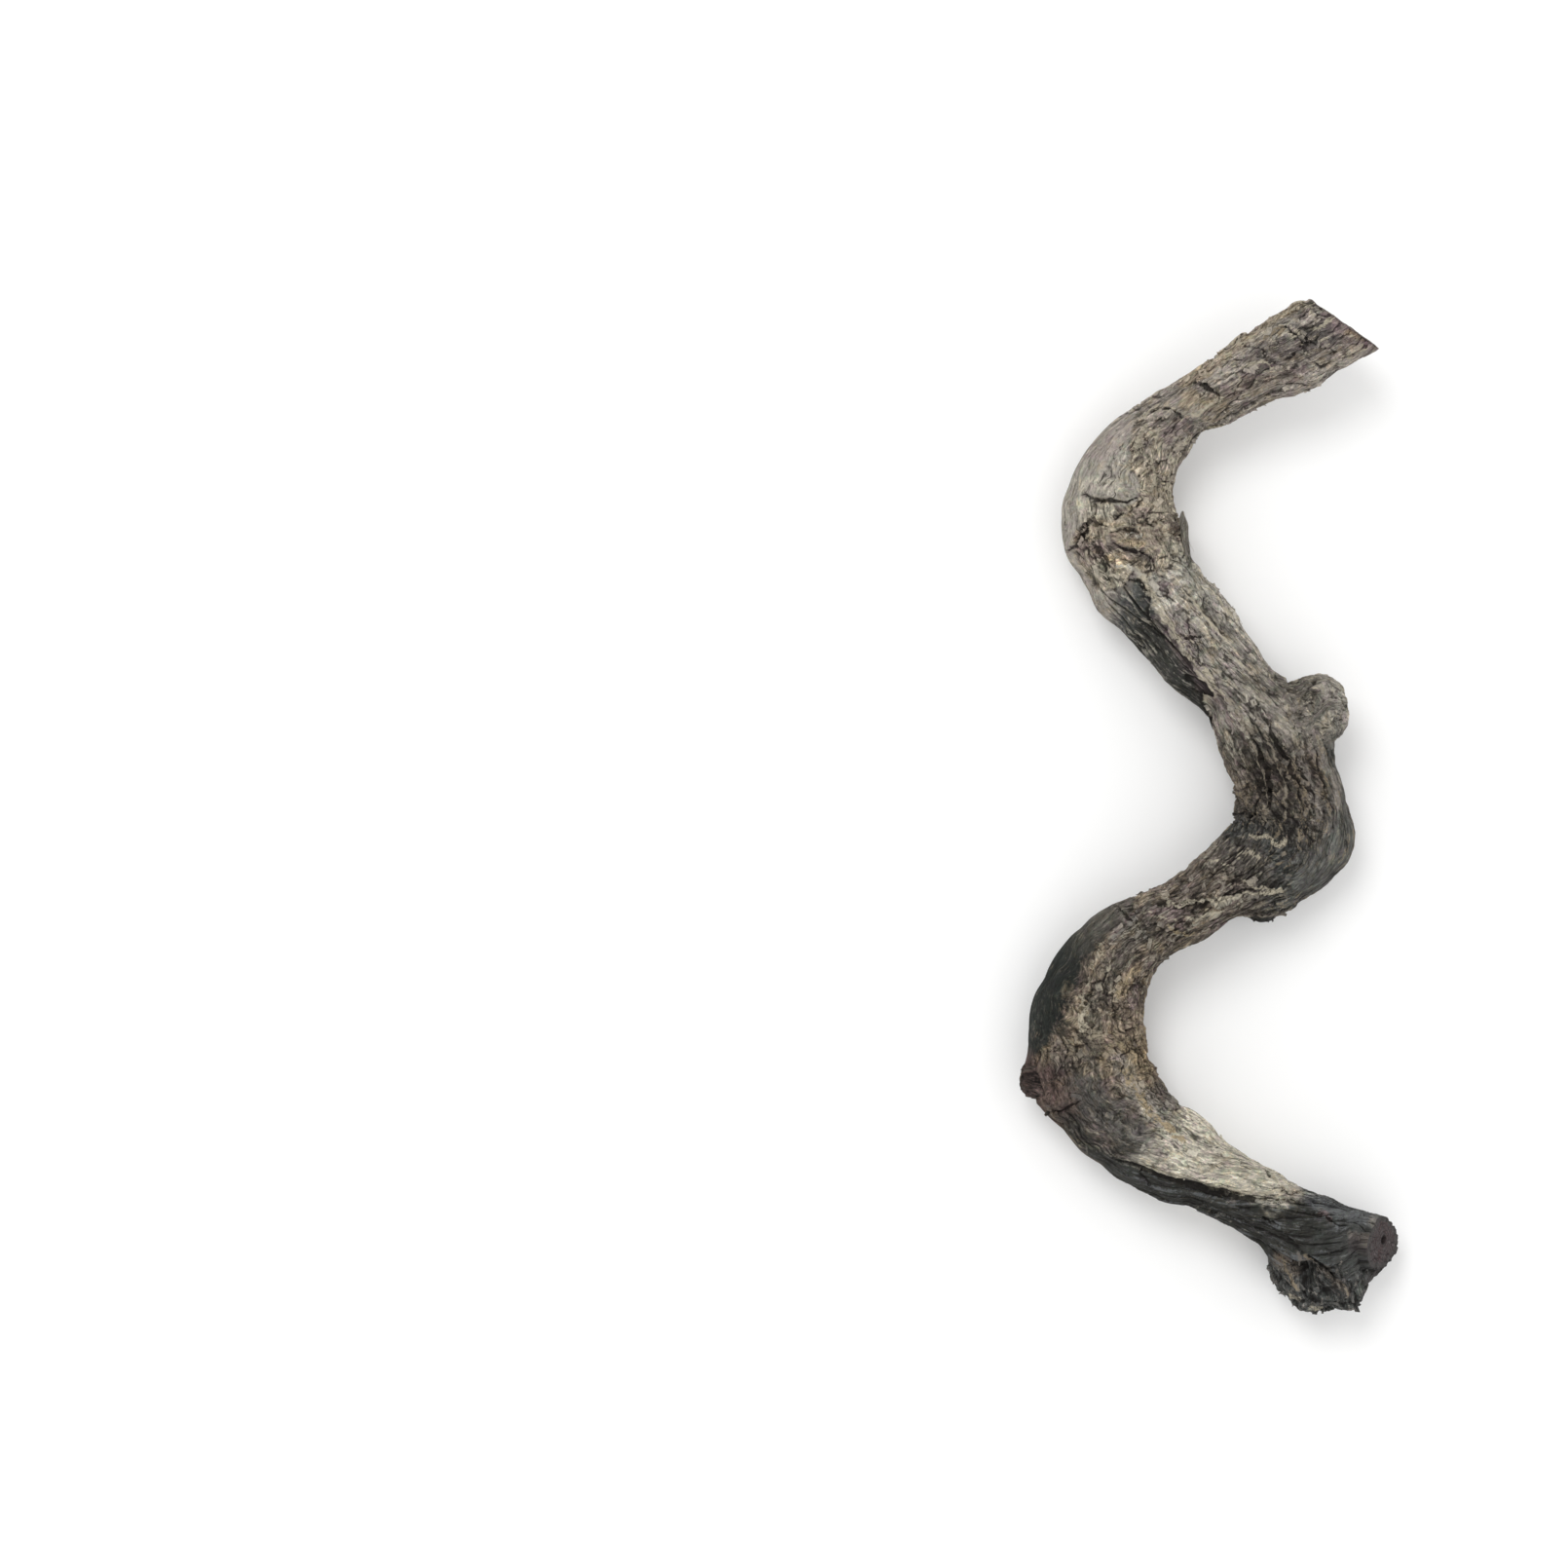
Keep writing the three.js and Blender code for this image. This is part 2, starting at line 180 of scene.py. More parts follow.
# Distance in plan to a bent line, and how far along it the nearest point lies, 0 to 1.
def toLine(flat, line):
    line = np.array(line, float)
    runs = np.linalg.norm(np.diff(line, axis=0), axis=1)
    begun = np.concatenate([[0], np.cumsum(runs)])
    nearest = np.full(flat.shape[:-1], 1e9)
    share = np.zeros(flat.shape[:-1])
    for i, start in enumerate(line[:-1]):
        run = line[i + 1] - start
        away = flat - start
        part = np.clip(away @ run / (run @ run), 0, 1)
        gap = np.linalg.norm(away - part[..., None] * run, axis=-1)
        closer = gap < nearest
        nearest = np.where(closer, gap, nearest)
        share = np.where(closer, (begun[i] + part * runs[i]) / begun[-1], share)
    return nearest, share


# The stem's stations from the saw cut to the sawn fork: place in plan, height of the middle,
# width, depth, the angles of the bark's upper and lower edge, and the bark's step there.
stem = {
    "stations": [
        (46.6, 145.4, 34.0, 28.6, 23.0, 150, 250, 0.0),
        (36.8, 139.3, 31.5, 26.0, 22.0, 150, 250, 0.0),
        (25.6, 133.2, 28.5, 23.6, 21.5, 150, 245, 0.1),
        (7.8, 123.6, 24.0, 20.0, 20.5, 140, 240, 0.3),
        (-9.2, 113.1, 19.5, 18.8, 21.0, 125, 235, 0.5),
        (-19.1, 104.0, 16.0, 24.0, 23.5, 112, 230, 1.0),
        (-25.3, 92.8, 14.0, 31.0, 26.5, 104, 228, 1.0),
        (-25.4, 80.0, 13.4, 34.0, 28.5, 104, 228, 0.4),
        (-18.9, 66.4, 14.6, 33.0, 28.0, 98, 230, 0.9),
        (-9.4, 54.3, 17.5, 28.9, 26.5, 110, 232, 2.6),
        (-0.3, 41.8, 20.0, 26.2, 25.5, 119, 235, 2.6),
        (10.4, 28.6, 20.0, 23.8, 26.0, 130, 236, 2.0),
        (19.0, 15.1, 17.0, 29.4, 28.0, 122, 238, 1.2),
        (24.8, 1.0, 14.5, 33.4, 30.0, 104, 240, 1.0),
        (23.0, -12.8, 14.6, 35.4, 30.0, 104, 240, 0.6),
        (9.7, -21.6, 18.5, 25.4, 26.0, 118, 238, 0.1),
        (-6.0, -30.6, 21.5, 19.4, 23.5, 130, 235, 0.1),
        (-18.7, -37.4, 20.0, 21.9, 24.5, 126, 232, 0.6),
        (-28.9, -47.1, 16.5, 28.0, 26.5, 120, 230, 1.2),
        (-34.3, -59.4, 14.0, 31.6, 28.0, 116, 230, 1.3),
        (-34.9, -72.3, 13.3, 33.4, 28.5, 126, 232, 0.9),
        (-32.3, -82.3, 14.2, 33.0, 28.0, 136, 240, 0.6),
        (-26.1, -91.9, 16.5, 31.8, 26.5, 142, 250, 0.6),
        (-16.2, -99.6, 19.0, 26.6, 25.0, 126, 245, 1.3),
        (-4.0, -107.0, 20.5, 22.4, 23.5, 105, 235, 2.2),
        (8.0, -113.8, 20.5, 21.4, 23.0, 86, 215, 2.4),
        (21.2, -121.2, 19.0, 21.4, 23.0, 52, 190, 2.0),
        (34.6, -127.2, 17.5, 23.6, 22.5, 24, 165, 0.9),
        (45.6, -129.8, 16.5, 20.4, 19.0, 10, 150, 0.4),
        (60.0, -129.6, 15.8, 14.0, 13.5, 0, 140, 0.2),
    ],
    "pieces": [("upper_stem", 7.0), ("channel_stem", 13.0), ("bend_stem", 19.5), ("lower_stem", 26.5),
               ("sawn_end", 29.0)],
    "rowSpacing": 0.38,
    "columns": 264,
    "topCrowding": 0.3,        # how much closer the columns stand on top than below
    "lookAhead": 13.0,         # half the length over which the stem's direction is taken
    "cutSearch": (70, 25),     # how far along from each end its saw cut is looked for
    "slantFade": (30, 20),     # over this length the rows turn from the cut's slant to level
    "faceRings": 26,           # rows on each sawn face
    "grainRadius": 13.0,
    "tuck": 0.03,              # how far a piece's extra ring lies below its neighbour
    # along the stem, by station: 1 where bark goes all round, and how ragged its edge is
    "barkOnly": [(4.2, 1), (4.9, 0), (10.5, 0), (11.6, 1), (16.2, 1), (17.2, 0)],
    "barkEdge": [(6.8, 3.0), (8, 0.9), (11, 0.8), (17, 2.2), (18.5, 4.2), (21.8, 4.0), (23.2, 0.9),
                 (26, 1.6)],
    # how much the grain swirls, how flaky the fine pattern is, and what share of the bark's step shows
    "swirl": [(3.6, 0.45), (5.0, 0.9), (7.6, 1.0), (9, 0.35), (12, 0.3), (17, 0.6), (19, 1.1), (22, 1.0),
              (23, 0.5), (25, 0.3)],
    "calm": [(0, 0.35), (3.6, 0.5), (5.0, 1.0), (8.0, 1.0), (8.8, 0.4), (11.2, 0.4), (12.5, 1.0), (22.6, 1.0),
             (23.4, 0.45), (25.6, 0.45), (26.3, 1.0)],
    "barkStep": [(5.0, 0.1), (6.6, 0.15), (7.4, 0.4), (8.2, 0.8), (16.5, 0.8), (18, 0.15), (21.8, 0.15),
                 (23.2, 0.35)],
}
# Saw cuts: a point of each, its direction in degrees, its face's colour, and its worn corners as
# their angle in degrees and depth.
upperCut = {"at": (35.9, 140.0, 31.0), "turn": 54.7, "tilt": 10, "face": "umber",
            "corners": [(180, 1.8), (0, 1.3)]}
lowerCut = {"at": (51.6, -128.4, 16.0), "turn": -2, "tilt": 36, "face": "plumCoal",
            "corners": [(100, 2.4), (190, 2.4)]}
pith = {"diameter": 2.0, "depth": 4.6, "across": 0.6, "up": 1.2}

# How rough the stem is along its length: station, plates, fibres, crumbs, strands of the bark and
# of the bare wood, twist in degrees.
barkStyle = [
    (0, 0.6, 0.5, 0.4, 0.0, 0.2, 0), (4, 0.6, 0.5, 0.4, 0.0, 0.2, 0), (6, 0.55, 0.6, 0.5, 0.0, 0.0, 0),
    (7.4, 0.9, 0.5, 0.6, 0.0, 0.0, 0), (8.4, 0.55, 0.9, 0.4, 0.0, 0.9, 5),
    (10, 0.35, 1.0, 0.3, 0.2, 0.95, 10), (12, 0.6, 0.9, 0.6, 0.35, 0.4, 30),
    (14, 0.6, 0.9, 0.6, 0.45, 0.3, 50), (16, 0.6, 0.9, 0.7, 0.35, 0.3, 70),
    (18, 0.55, 0.6, 0.8, 0.1, 0.0, 80), (20, 0.5, 0.5, 0.9, 0.0, 0.0, 90),
    (22, 0.5, 0.5, 0.7, 0.0, 0.1, 100), (24, 0.3, 0.3, 0.5, 0.0, 0.8, 130),
    (26, 0.3, 0.5, 0.4, 0.5, 0.9, 190), (27.6, 0.4, 0.6, 0.5, 0.45, 0.5, 235),
    (29, 0.5, 0.6, 0.7, 0.2, 0.2, 250),
]


# A smooth curve through the stations, as rows at even steps of its length.
def smoothStations(stations, spacing=0.25):
    rows = np.array(stations, float)
    rows = np.vstack([2 * rows[0] - rows[1], rows, 2 * rows[-1] - rows[-2]])
    last = len(stations) - 1
    place = np.linspace(0, last, 400 * last)
    first = np.minimum(place.astype(int), last - 1)
    t = (place - first)[:, None]
    a, b, c, d = (rows[first + k] for k in range(4))
    square, cube = 2 * a - 5 * b + 4 * c - d, 3 * b - a - 3 * c + d
    curve = 0.5 * (2 * b + (c - a) * t + square * t ** 2 + cube * t ** 3)
    curve = np.column_stack([curve, place])
    steps = np.linalg.norm(np.diff(curve[:, :3], axis=0), axis=1)
    length = np.concatenate([[0], np.cumsum(steps)])
    along = np.linspace(0, length[-1], int(length[-1] / spacing))
    return along, np.column_stack([np.interp(along, length, column) for column in curve.T])


# A limb's axis: its path, and a table of its sections with their left and up directions.
def makeAxis(stations, lookAhead):
    along, rows = smoothStations(stations)
    path = rows[:, :3]

    def pathAt(place):
        return np.column_stack([np.interp(place, along, column) for column in path.T])

    ahead = unit(pathAt(along + lookAhead) - pathAt(along - lookAhead))
    left = unit(np.cross([0, 0, 1], ahead))
    up = np.cross(ahead, left)
    table = np.column_stack([rows, left, up])
    return {"length": along[-1], "table": table, "path": path, "size": (rows[:, 3] + rows[:, 4]) / 4}


# The section at each place along an axis. Only the stem's table has its bark's edges.
def sectionAt(axis, along):
    table = axis["table"]
    place = np.clip(along / axis["length"], 0, 1) * (len(table) - 1)
    low = np.minimum(place.astype(int), len(table) - 2)
    part = (place - low)[..., None]
    row = table[low] * (1 - part) + table[low + 1] * part
    named = {"middle": row[..., :3], "wide": row[..., 3], "deep": row[..., 4]}
    if row.shape[-1] > 12:
        named.update(bark=row[..., 5], under=row[..., 6], step=np.maximum(row[..., 7], 0))
    named.update(station=row[..., -7], left=row[..., -6:-3], up=row[..., -3:])
    return named


# Points on the sections' ovals, wider by the bark's step where wood is bare, and outward directions.
def ovalPoints(section, angle, bark):
    side = section["wide"] / 2 + (1 - bark) * section.get("step", 0)
    out = section["left"] * (np.cos(angle) * side)[..., None]
    out = out + section["up"] * (np.sin(angle) * section["deep"] / 2)[..., None]
    return section["middle"] + out, unit(out)


def cutNormal(cut):
    turn, tilt = math.radians(cut["turn"]), math.radians(cut["tilt"])
    flat = math.cos(tilt)
    return np.array([flat * math.cos(turn), flat * math.sin(turn), math.sin(tilt)])


def beyondCut(points, cut):
    return (points - np.array(cut["at"])) @ cutNormal(cut)


# Distance to the skin of another limb, negative inside it.
def toLimb(points, axis, every=12):
    nearest = np.full(points.shape[:-1], 1e9)
    for middle, size in zip(axis["path"][::every], axis["size"][::every]):
        nearest = np.minimum(nearest, np.linalg.norm(points - middle, axis=-1) - size)
    return nearest


# The swelling where two limbs grow together, for a point on one at that distance from the other.
def fillet(distance, reach, high):
    return high * np.clip(1 - np.abs(distance) / reach, 0, 1) ** 2


# Normals of a grid that is closed round its columns.
def gridNormals(points):
    around = np.roll(points, -1, axis=1) - np.roll(points, 1, axis=1)
    along = np.gradient(points, axis=0)
    return unit(np.cross(around, along))


# A running mean over the grid, closed round the columns.
def blurred(values, rows, columns):
    for axis, half in ((0, rows), (1, columns)):
        padded = np.pad(values, [(half, half) if k == axis else (0, 0) for k in (0, 1)],
                        mode="edge" if axis == 0 else "wrap")
        sums = np.cumsum(np.insert(padded, 0, 0, axis=axis), axis=axis)
        width = 2 * half + 1
        count = values.shape[axis]
        high = np.take(sums, range(width, width + count), axis=axis)
        low = np.take(sums, range(0, count), axis=axis)
        values = (high - low) / width
    return values


# How far each point stands above what is round it: 0.5 is level, 1 a crest, 0 a crevice.
def standing(relief):
    near = relief - blurred(relief, 2, 3)
    far = relief - blurred(relief, 9, 12)
    return np.clip(0.5 + 1.1 * near + 0.4 * far, 0, 1)


def makeObject(name, points, faces, materials, values=None, caps=None, sharp=None):
    mesh = bpy.data.meshes.new(name)
    mesh.from_pydata(((points - planMiddle) * metre).tolist(), [], faces)
    mesh.shade_smooth()
    for key, data in (values or {}).items():
        kind = "FLOAT" if data.ndim == 1 else "FLOAT_VECTOR"
        layer = mesh.attributes.new(key, kind, "POINT")
        layer.data.foreach_set("value" if kind == "FLOAT" else "vector", data.astype(np.float32).ravel())
    for material in materials:
        mesh.materials.append(material)
    if caps is not None:
        mesh.polygons.foreach_set("material_index", caps.astype(np.int32))
    if sharp is not None:
        pairs = np.zeros(len(mesh.edges) * 2, np.int32)
        mesh.edges.foreach_get("vertices", pairs)
        mesh.edges.foreach_set("use_edge_sharp", sharp[pairs.reshape(-1, 2)].all(axis=1))
    made = bpy.data.objects.new(name, mesh)
    scene.collection.objects.link(made)
    print(name, len(faces), "faces")
    return made


def gridFaces(rows, columns):
    index = np.arange(rows * columns).reshape(rows, columns)
    right = np.roll(index, -1, axis=1)
    return np.stack([index[:-1], right[:-1], right[1:], index[1:]], axis=-1).reshape(-1, 4)


# A closed skin from a grid of points, with a middle point at each end. The rows of a sawn face,
# counted from the start or the end, take the second material.
def gridObject(name, points, values, materials, startCap=0, endCap=0):
    rows, columns = points.shape[:2]
    index = np.arange(rows * columns).reshape(rows, columns)
    quads = gridFaces(rows, columns)
    flat = np.vstack([points.reshape(-1, 3), points[0].mean(axis=0), points[-1].mean(axis=0)])
    first, last = rows * columns, rows * columns + 1
    near = np.column_stack([np.full(columns, first), np.roll(index[0], -1), index[0]])
    far = np.column_stack([np.full(columns, last), index[-1], np.roll(index[-1], -1)])
    a, b, c, d = (flat[quads[:, k]] for k in range(4))
    if np.sum(np.cross(a, b) * c) + np.sum(np.cross(a, c) * d) < 0:
        quads, near, far = quads[:, ::-1], near[:, ::-1], far[:, ::-1]
    flatValues = {}
    for key, data in values.items():
        wide = data.reshape(rows, columns, -1)
        joined = np.vstack([wide.reshape(rows * columns, -1), wide[0].mean(axis=0), wide[-1].mean(axis=0)])
        flatValues[key] = joined[:, 0] if data.ndim == 2 else joined
    caps = np.zeros(len(quads) + 2 * columns, np.int32)
    sharp = np.zeros(len(flat), bool)
    sharp[index[startCap]] = True
    sharp[index[-1 - endCap]] = True
    if startCap:
        caps[:startCap * columns] = 1
        caps[len(quads):len(quads) + columns] = 1
    if endCap:
        caps[len(quads) - endCap * columns:len(quads)] = 1
        caps[len(quads) + columns:] = 1
    faces = quads.tolist() + near.tolist() + far.tolist()
    return makeObject(name, flat, faces, materials, flatValues, caps, sharp)


# Weathered wood colours, as the eye sees them.
palette = {
    "plumGrey": (136, 125, 120), "barkGrey": (142, 135, 127), "ash": (163, 158, 149),
    "paleAsh": (172, 165, 156), "barkTan": (162, 152, 136), "umber": (112, 101, 90),
    "grey": (142, 137, 128), "coal": (73, 74, 72), "soot": (51, 51, 48),
    "greenGrey": (92, 92, 88), "greenBlack": (35, 38, 35), "neck": (98, 90, 82),
    "goldUmber": (126, 114, 95), "dullGrey": (90, 86, 79), "bone": (184, 178, 162),
    "cream": (208, 198, 176), "ochre": (164, 145, 114), "redBrown": (62, 47, 42),
    "plumCoal": (78, 70, 70), "chalk": (214, 208, 194), "slate": (118, 121, 123),
    "tan": (156, 142, 120), "mauve": (120, 105, 105), "lichen": (124, 126, 115),
    "straw": (200, 181, 148), "chaff": (194, 188, 172), "mauveCoal": (88, 74, 70),
}
palette = {name: srgb(*colour) for name, colour in palette.items()}

# Where each colour lies along the stem: station, then the bark's and the bare wood's colour,
# then the colour of what has worn or settled on their crests.
toneStops = [
    (0, "plumGrey", "ash", "cream", "ash"), (2, "barkGrey", "ash", "cream", "paleAsh"),
    (4, "barkGrey", "ash", "cream", "paleAsh"), (5.5, "barkTan", "grey", "cream", "bone"),
    (7, "barkTan", "grey", "cream", "bone"), (7.9, "barkTan", "barkGrey", "cream", "bone"),
    (8.3, "ash", "coal", "cream", "bone"), (9, "ash", "soot", "cream", "bone"),
    (10.6, "grey", "soot", "cream", "ash"), (11.3, "dullGrey", "soot", "bone", "ash"),
    (12.3, "neck", "coal", "tan", "ash"),
    (14.6, "coal", "soot", "tan", "ash"), (15.5, "neck", "neck", "bone", "ash"),
    (17, "neck", "dullGrey", "bone", "ash"), (18.3, "umber", "greenBlack", "cream", "dullGrey"),
    (20.6, "goldUmber", "greenBlack", "tan", "dullGrey"), (21.5, "umber", "umber", "tan", "dullGrey"),
    (22.6, "dullGrey", "soot", "bone", "slate"), (23.4, "chaff", "soot", "cream", "slate"),
    (25.6, "chaff", "soot", "cream", "slate"), (26.3, "coal", "soot", "slate", "slate"),
    (28, "coal", "coal", "slate", "slate"), (28.6, "plumCoal", "plumCoal", "barkGrey", "slate"),
]

# Lines in plan that two marks share, such as a ridge and the colour of its crest.
lines = {
    "cutRidge": [(33.1, 141.1), (32.9, 139.4), (29.9, 136.9), (27.8, 136.4)],
    "cutLip": [(29.9, 145.2), (27.8, 144.8), (26.1, 143.1), (28.2, 142.9)],
    "armRidge": [(1.8, 116.7), (-1.4, 114.6), (-5.3, 112.1)],
    "bendRidge": [(-15.8, 108.8), (-16.2, 105.4), (-17.9, 102.1), (-17.0, 97.0), (-17.5, 90.3)],
    "innerBendRidge": [(-10.7, 100.4), (-12.9, 97.0), (-12.9, 92.0), (-11.2, 86.1)],
    "scarStraw": [(-25.0, 75.8), (-20.0, 75.6)],
    "barkRidge": [(-11.2, 64.3), (-6.1, 58.5), (-1.1, 51.8), (5.6, 44.2)],
    "barkEdgeRidge": [(-4.5, 66.9), (0.6, 60.1), (7.3, 53.4)],
    "neckRidge": [(12.3, 25.7), (20.7, 18.9), (25.7, 11.4), (29.1, 2.2), (29.9, -4.5)],
    "neckRim": [(20.7, 30.7), (27.4, 23.1), (29.1, 16.4), (35.8, 8.1), (36.6, -0.3)],
    "saddleRidge": [(8.1, -22.1), (12.3, -24.2), (19.9, -25.1)],
    "saddleFold": [(-13.7, -28.8), (-6.1, -27.6), (0.6, -28.8), (8.1, -25.9), (19.9, -25.5)],
    "saddleEdge": [(-16.2, -26.3), (-11.1, -29.7), (3.9, -26.7)],
    "saddleStraw": [(-13.7, -35.5), (-9.5, -37.6), (-5.3, -38.1)],
}

# Marks on the upper side, in plan. Relief: height, half width, line.
folds = [
    (1.5, 2.2, [(12.6, -17.4), (2.0, -26.0), (-12.0, -29.8), (-22.0, -34.6)]),
    (1.4, 2.0, [(16.0, -25.0), (6.0, -29.0), (-8.0, -34.4), (-18.0, -42.4)]),
    (1.5, 2.4, [(23.4, 27.8), (29.6, 12.0), (33.0, -2.0), (30.0, -13.0)]),
    (1.3, 2.2, [(15.4, 29.4), (22.8, 14.0), (26.6, 0.0), (25.2, -10.0)]),
    (0.9, 2.4, [(-13.0, 63.4), (-4.0, 52.0), (7.0, 37.4), (14.6, 24.0)]),
    (1.1, 2.2, [(36.0, 137.0), (22.0, 128.0), (8.0, 123.4), (-4.0, 118.0)]),
    (0.9, 2.6, [(-31.6, -58.0), (-29.6, -76.0), (-20.0, -90.0), (-8.0, -99.6)]),
]
ridges = [
    (0.8, 0.7, [(4.0, 30.0), (9.0, 22.0), (13.6, 12.0), (16.0, 2.0), (15.0, -6.0), (9.0, -12.0)]),
    (0.8, 0.6, [(12.0, 24.0), (17.0, 15.0), (20.6, 5.0), (21.0, -4.0), (16.6, -13.0)]),
    (0.7, 0.6, [(7.0, 20.0), (10.0, 12.0), (11.4, 4.0), (10.0, -4.0)]),
    (1.5, 1.3, [(26.4, -131.6), (31.6, -135.6), (38.4, -142.0), (40.4, -145.0)]),
    (0.5, 0.7, lines["cutRidge"]),
    (0.5, 0.9, lines["cutLip"]),
    (0.8, 0.8, [(8.1, 125.9), (14.4, 127.2), (18.0, 124.6)]),
    (0.7, 0.6, lines["armRidge"]),
    (0.8, 0.5, [(-19.5, 113.0), (-20.0, 108.8), (-22.1, 106.3), (-21.2, 102.1), (-24.6, 98.7),
                (-25.0, 95.8)]),
    (0.8, 0.5, lines["bendRidge"]),
    (0.8, 0.6, lines["innerBendRidge"]),
    (0.6, 0.5, lines["barkRidge"]),
    (0.6, 0.5, lines["barkEdgeRidge"]),
    (0.9, 1.0, [(8.1, 34.0), (12.3, 25.7), (20.7, 18.9), (25.7, 11.4), (29.1, 2.2), (29.9, -4.5)]),
    (0.9, 0.9, [(20.7, 30.7), (27.4, 23.1), (29.1, 16.4), (35.8, 8.1), (36.6, -0.3), (37.4, -4.5)]),
    (0.8, 0.9, [(33.0, 23.0), (36.6, 16.0), (37.4, 11.4), (40.0, 2.2)]),
    (1.0, 0.5, lines["saddleFold"]),
    (0.8, 0.5, lines["saddleEdge"]),
    (1.0, 0.6, lines["saddleStraw"]),
    (0.9, 0.8, lines["saddleRidge"]),
    (0.7, 0.9, [(-1.1, -116.5), (12.3, -115.7), (24.9, -119.1), (37.5, -123.2), (45.8, -125.7)]),
    (0.9, 1.0, [(-0.3, -119.9), (8.9, -124.1), (17.3, -129.1), (27.4, -133.3)]),
    (0.7, 0.6, [(-31.4, 80.6), (-28.3, 79.6), (-23.1, 80.4), (-18.0, 79.6), (-13.0, 80.6)]),
    (0.5, 0.5, [(-31.4, 75.6), (-27.4, 77.6), (-21.7, 77.2), (-17.6, 76.2)]),
    (0.6, 0.5, [(-30.6, 72.0), (-27.4, 74.0), (-22.6, 74.2), (-19.6, 72.6), (-18.4, 70.6)]),
    (0.8, 0.6, [(-33.4, 80.8), (-35.4, 77.6), (-34.9, 73.6), (-32.0, 70.6)]),
    (0.7, 0.6, [(-28.0, 65.4), (-31.6, 67.4), (-34.2, 70.4)]),
    (0.5, 1.0, [(-25.4, 69.2), (-21.4, 66.8), (-17.0, 61.6), (-13.0, 56.0)]),
]
cracks = [
    (1.0, 0.26, [(6.6, 27.6), (11.6, 19.0), (15.4, 10.0), (17.0, 1.0)]),
    (1.0, 0.26, [(13.0, 4.0), (13.0, -2.0), (9.6, -8.0)]),
    (3.0, 2.2, [(24.0, -133.0), (27.4, -134.6), (31.4, -138.0)]),
    (1.6, 0.5, [(27.0, -130.6), (32.6, -134.2), (37.4, -139.8)]),
    (1.2, 0.35, [(10.5, 30.0), (15.5, 21.5), (20.5, 13.0), (24.5, 5.0), (26.0, -4.0)]),
    (1.1, 0.3, [(26.0, 20.0), (30.0, 10.0), (33.5, 1.0), (34.5, -7.0)]),
    (0.9, 0.26, [(-30.0, -28.0), (-24.0, -33.6), (-21.0, -36.0)]),
    (1.0, 0.26, [(-22.0, -72.0), (-20.0, -80.0), (-14.0, -88.0)]),
    (1.8, 0.3, [(-38.9, 90.6), (-35.1, 88.9), (-32.3, 88.3), (-26.0, 87.4), (-21.7, 88.6)]),
    (1.7, 0.28, [(-38.9, 80.3), (-36.6, 80.9), (-34.9, 82.3), (-34.0, 80.9), (-30.3, 80.6)]),
    (1.8, 0.42, [(-41.6, 73.0), (-39.4, 76.3), (-36.9, 79.1), (-36.0, 80.3)]),
    (1.2, 0.3, [(-34.9, 76.0), (-33.7, 74.0), (-32.3, 73.0)]),
    (1.4, 0.32, [(-29.6, 75.4), (-25.4, 74.0), (-20.8, 73.6), (-18.2, 71.2)]),
    (1.0, 0.26, [(-30.6, 79.0), (-26.4, 79.6), (-21.6, 78.6)]),
    (1.2, 0.3, [(-19.0, 81.6), (-15.4, 80.2), (-13.6, 77.0)]),
    (1.4, 0.35, [(-48.4, -90.4), (-43.0, -89.0), (-38.0, -85.8)]),
    (1.3, 0.26, [(-28.6, 82.6), (-26.9, 83.4), (-25.4, 84.3)]),
    (1.3, 0.34, [(-26.0, 65.6), (-22.0, 64.4), (-19.4, 61.4)]),
    (1.4, 0.34, [(15.4, -106.0), (17.4, -109.6)]),
    (1.2, 0.26, [(18.0, -110.0), (19.8, -111.4), (19.6, -113.4)]),
    (1.0, 0.26, [(18.3, -113.6), (20.0, -112.6), (22.6, -113.4)]),
    (1.2, 0.3, [(14.0, -120.0), (17.0, -121.6), (19.8, -123.2)]),
    (1.0, 0.26, [(31.6, -118.8), (34.9, -122.0), (39.1, -123.2)]),
    (1.3, 0.24, [(-6.1, 122.6), (-2.8, 121.3), (0.6, 118.4), (1.8, 116.7)]),
    (1.2, 0.24, [(-19.0, 113.6), (-15.6, 114.8), (-12.4, 114.4), (-9.5, 112.1)]),
    (1.4, 0.4, [(27.4, 127.2), (29.9, 125.9), (36.6, 128.1), (42.5, 130.6)]),
    (1.2, 0.26, [(-10.3, 45.9), (-7.8, 48.0), (-3.2, 48.0)]),
    (1.2, 0.26, [(-38.0, -66.6), (-33.0, -67.0), (-30.5, -66.1)]),
    (1.6, 0.4, [(-12.9, 78.2), (-7.8, 78.6)]),
    (1.2, 0.3, [(17.0, 137.6), (21.0, 136.4), (25.4, 133.2), (26.6, 131.4)]),
]
# Where the bark laps further over the bare side, or where less than 0 not so far: millimetres,
# half width, line in plan.
barkLaps = [
    (-14, 5.0, [(-27.5, 110.0), (-29.5, 104.0), (-30.5, 96.0), (-27.0, 92.4), (-25.6, 91.4)]),
    (14, 5.6, [(-33.0, 82.0), (-33.0, 78.0), (-30.5, 68.0)]),
    (14, 6.0, [(-38.0, 74.0), (-34.0, 66.0)]),
    (14, 9.0, [(-45.0, -79.0), (-42.0, -94.0)]),
]
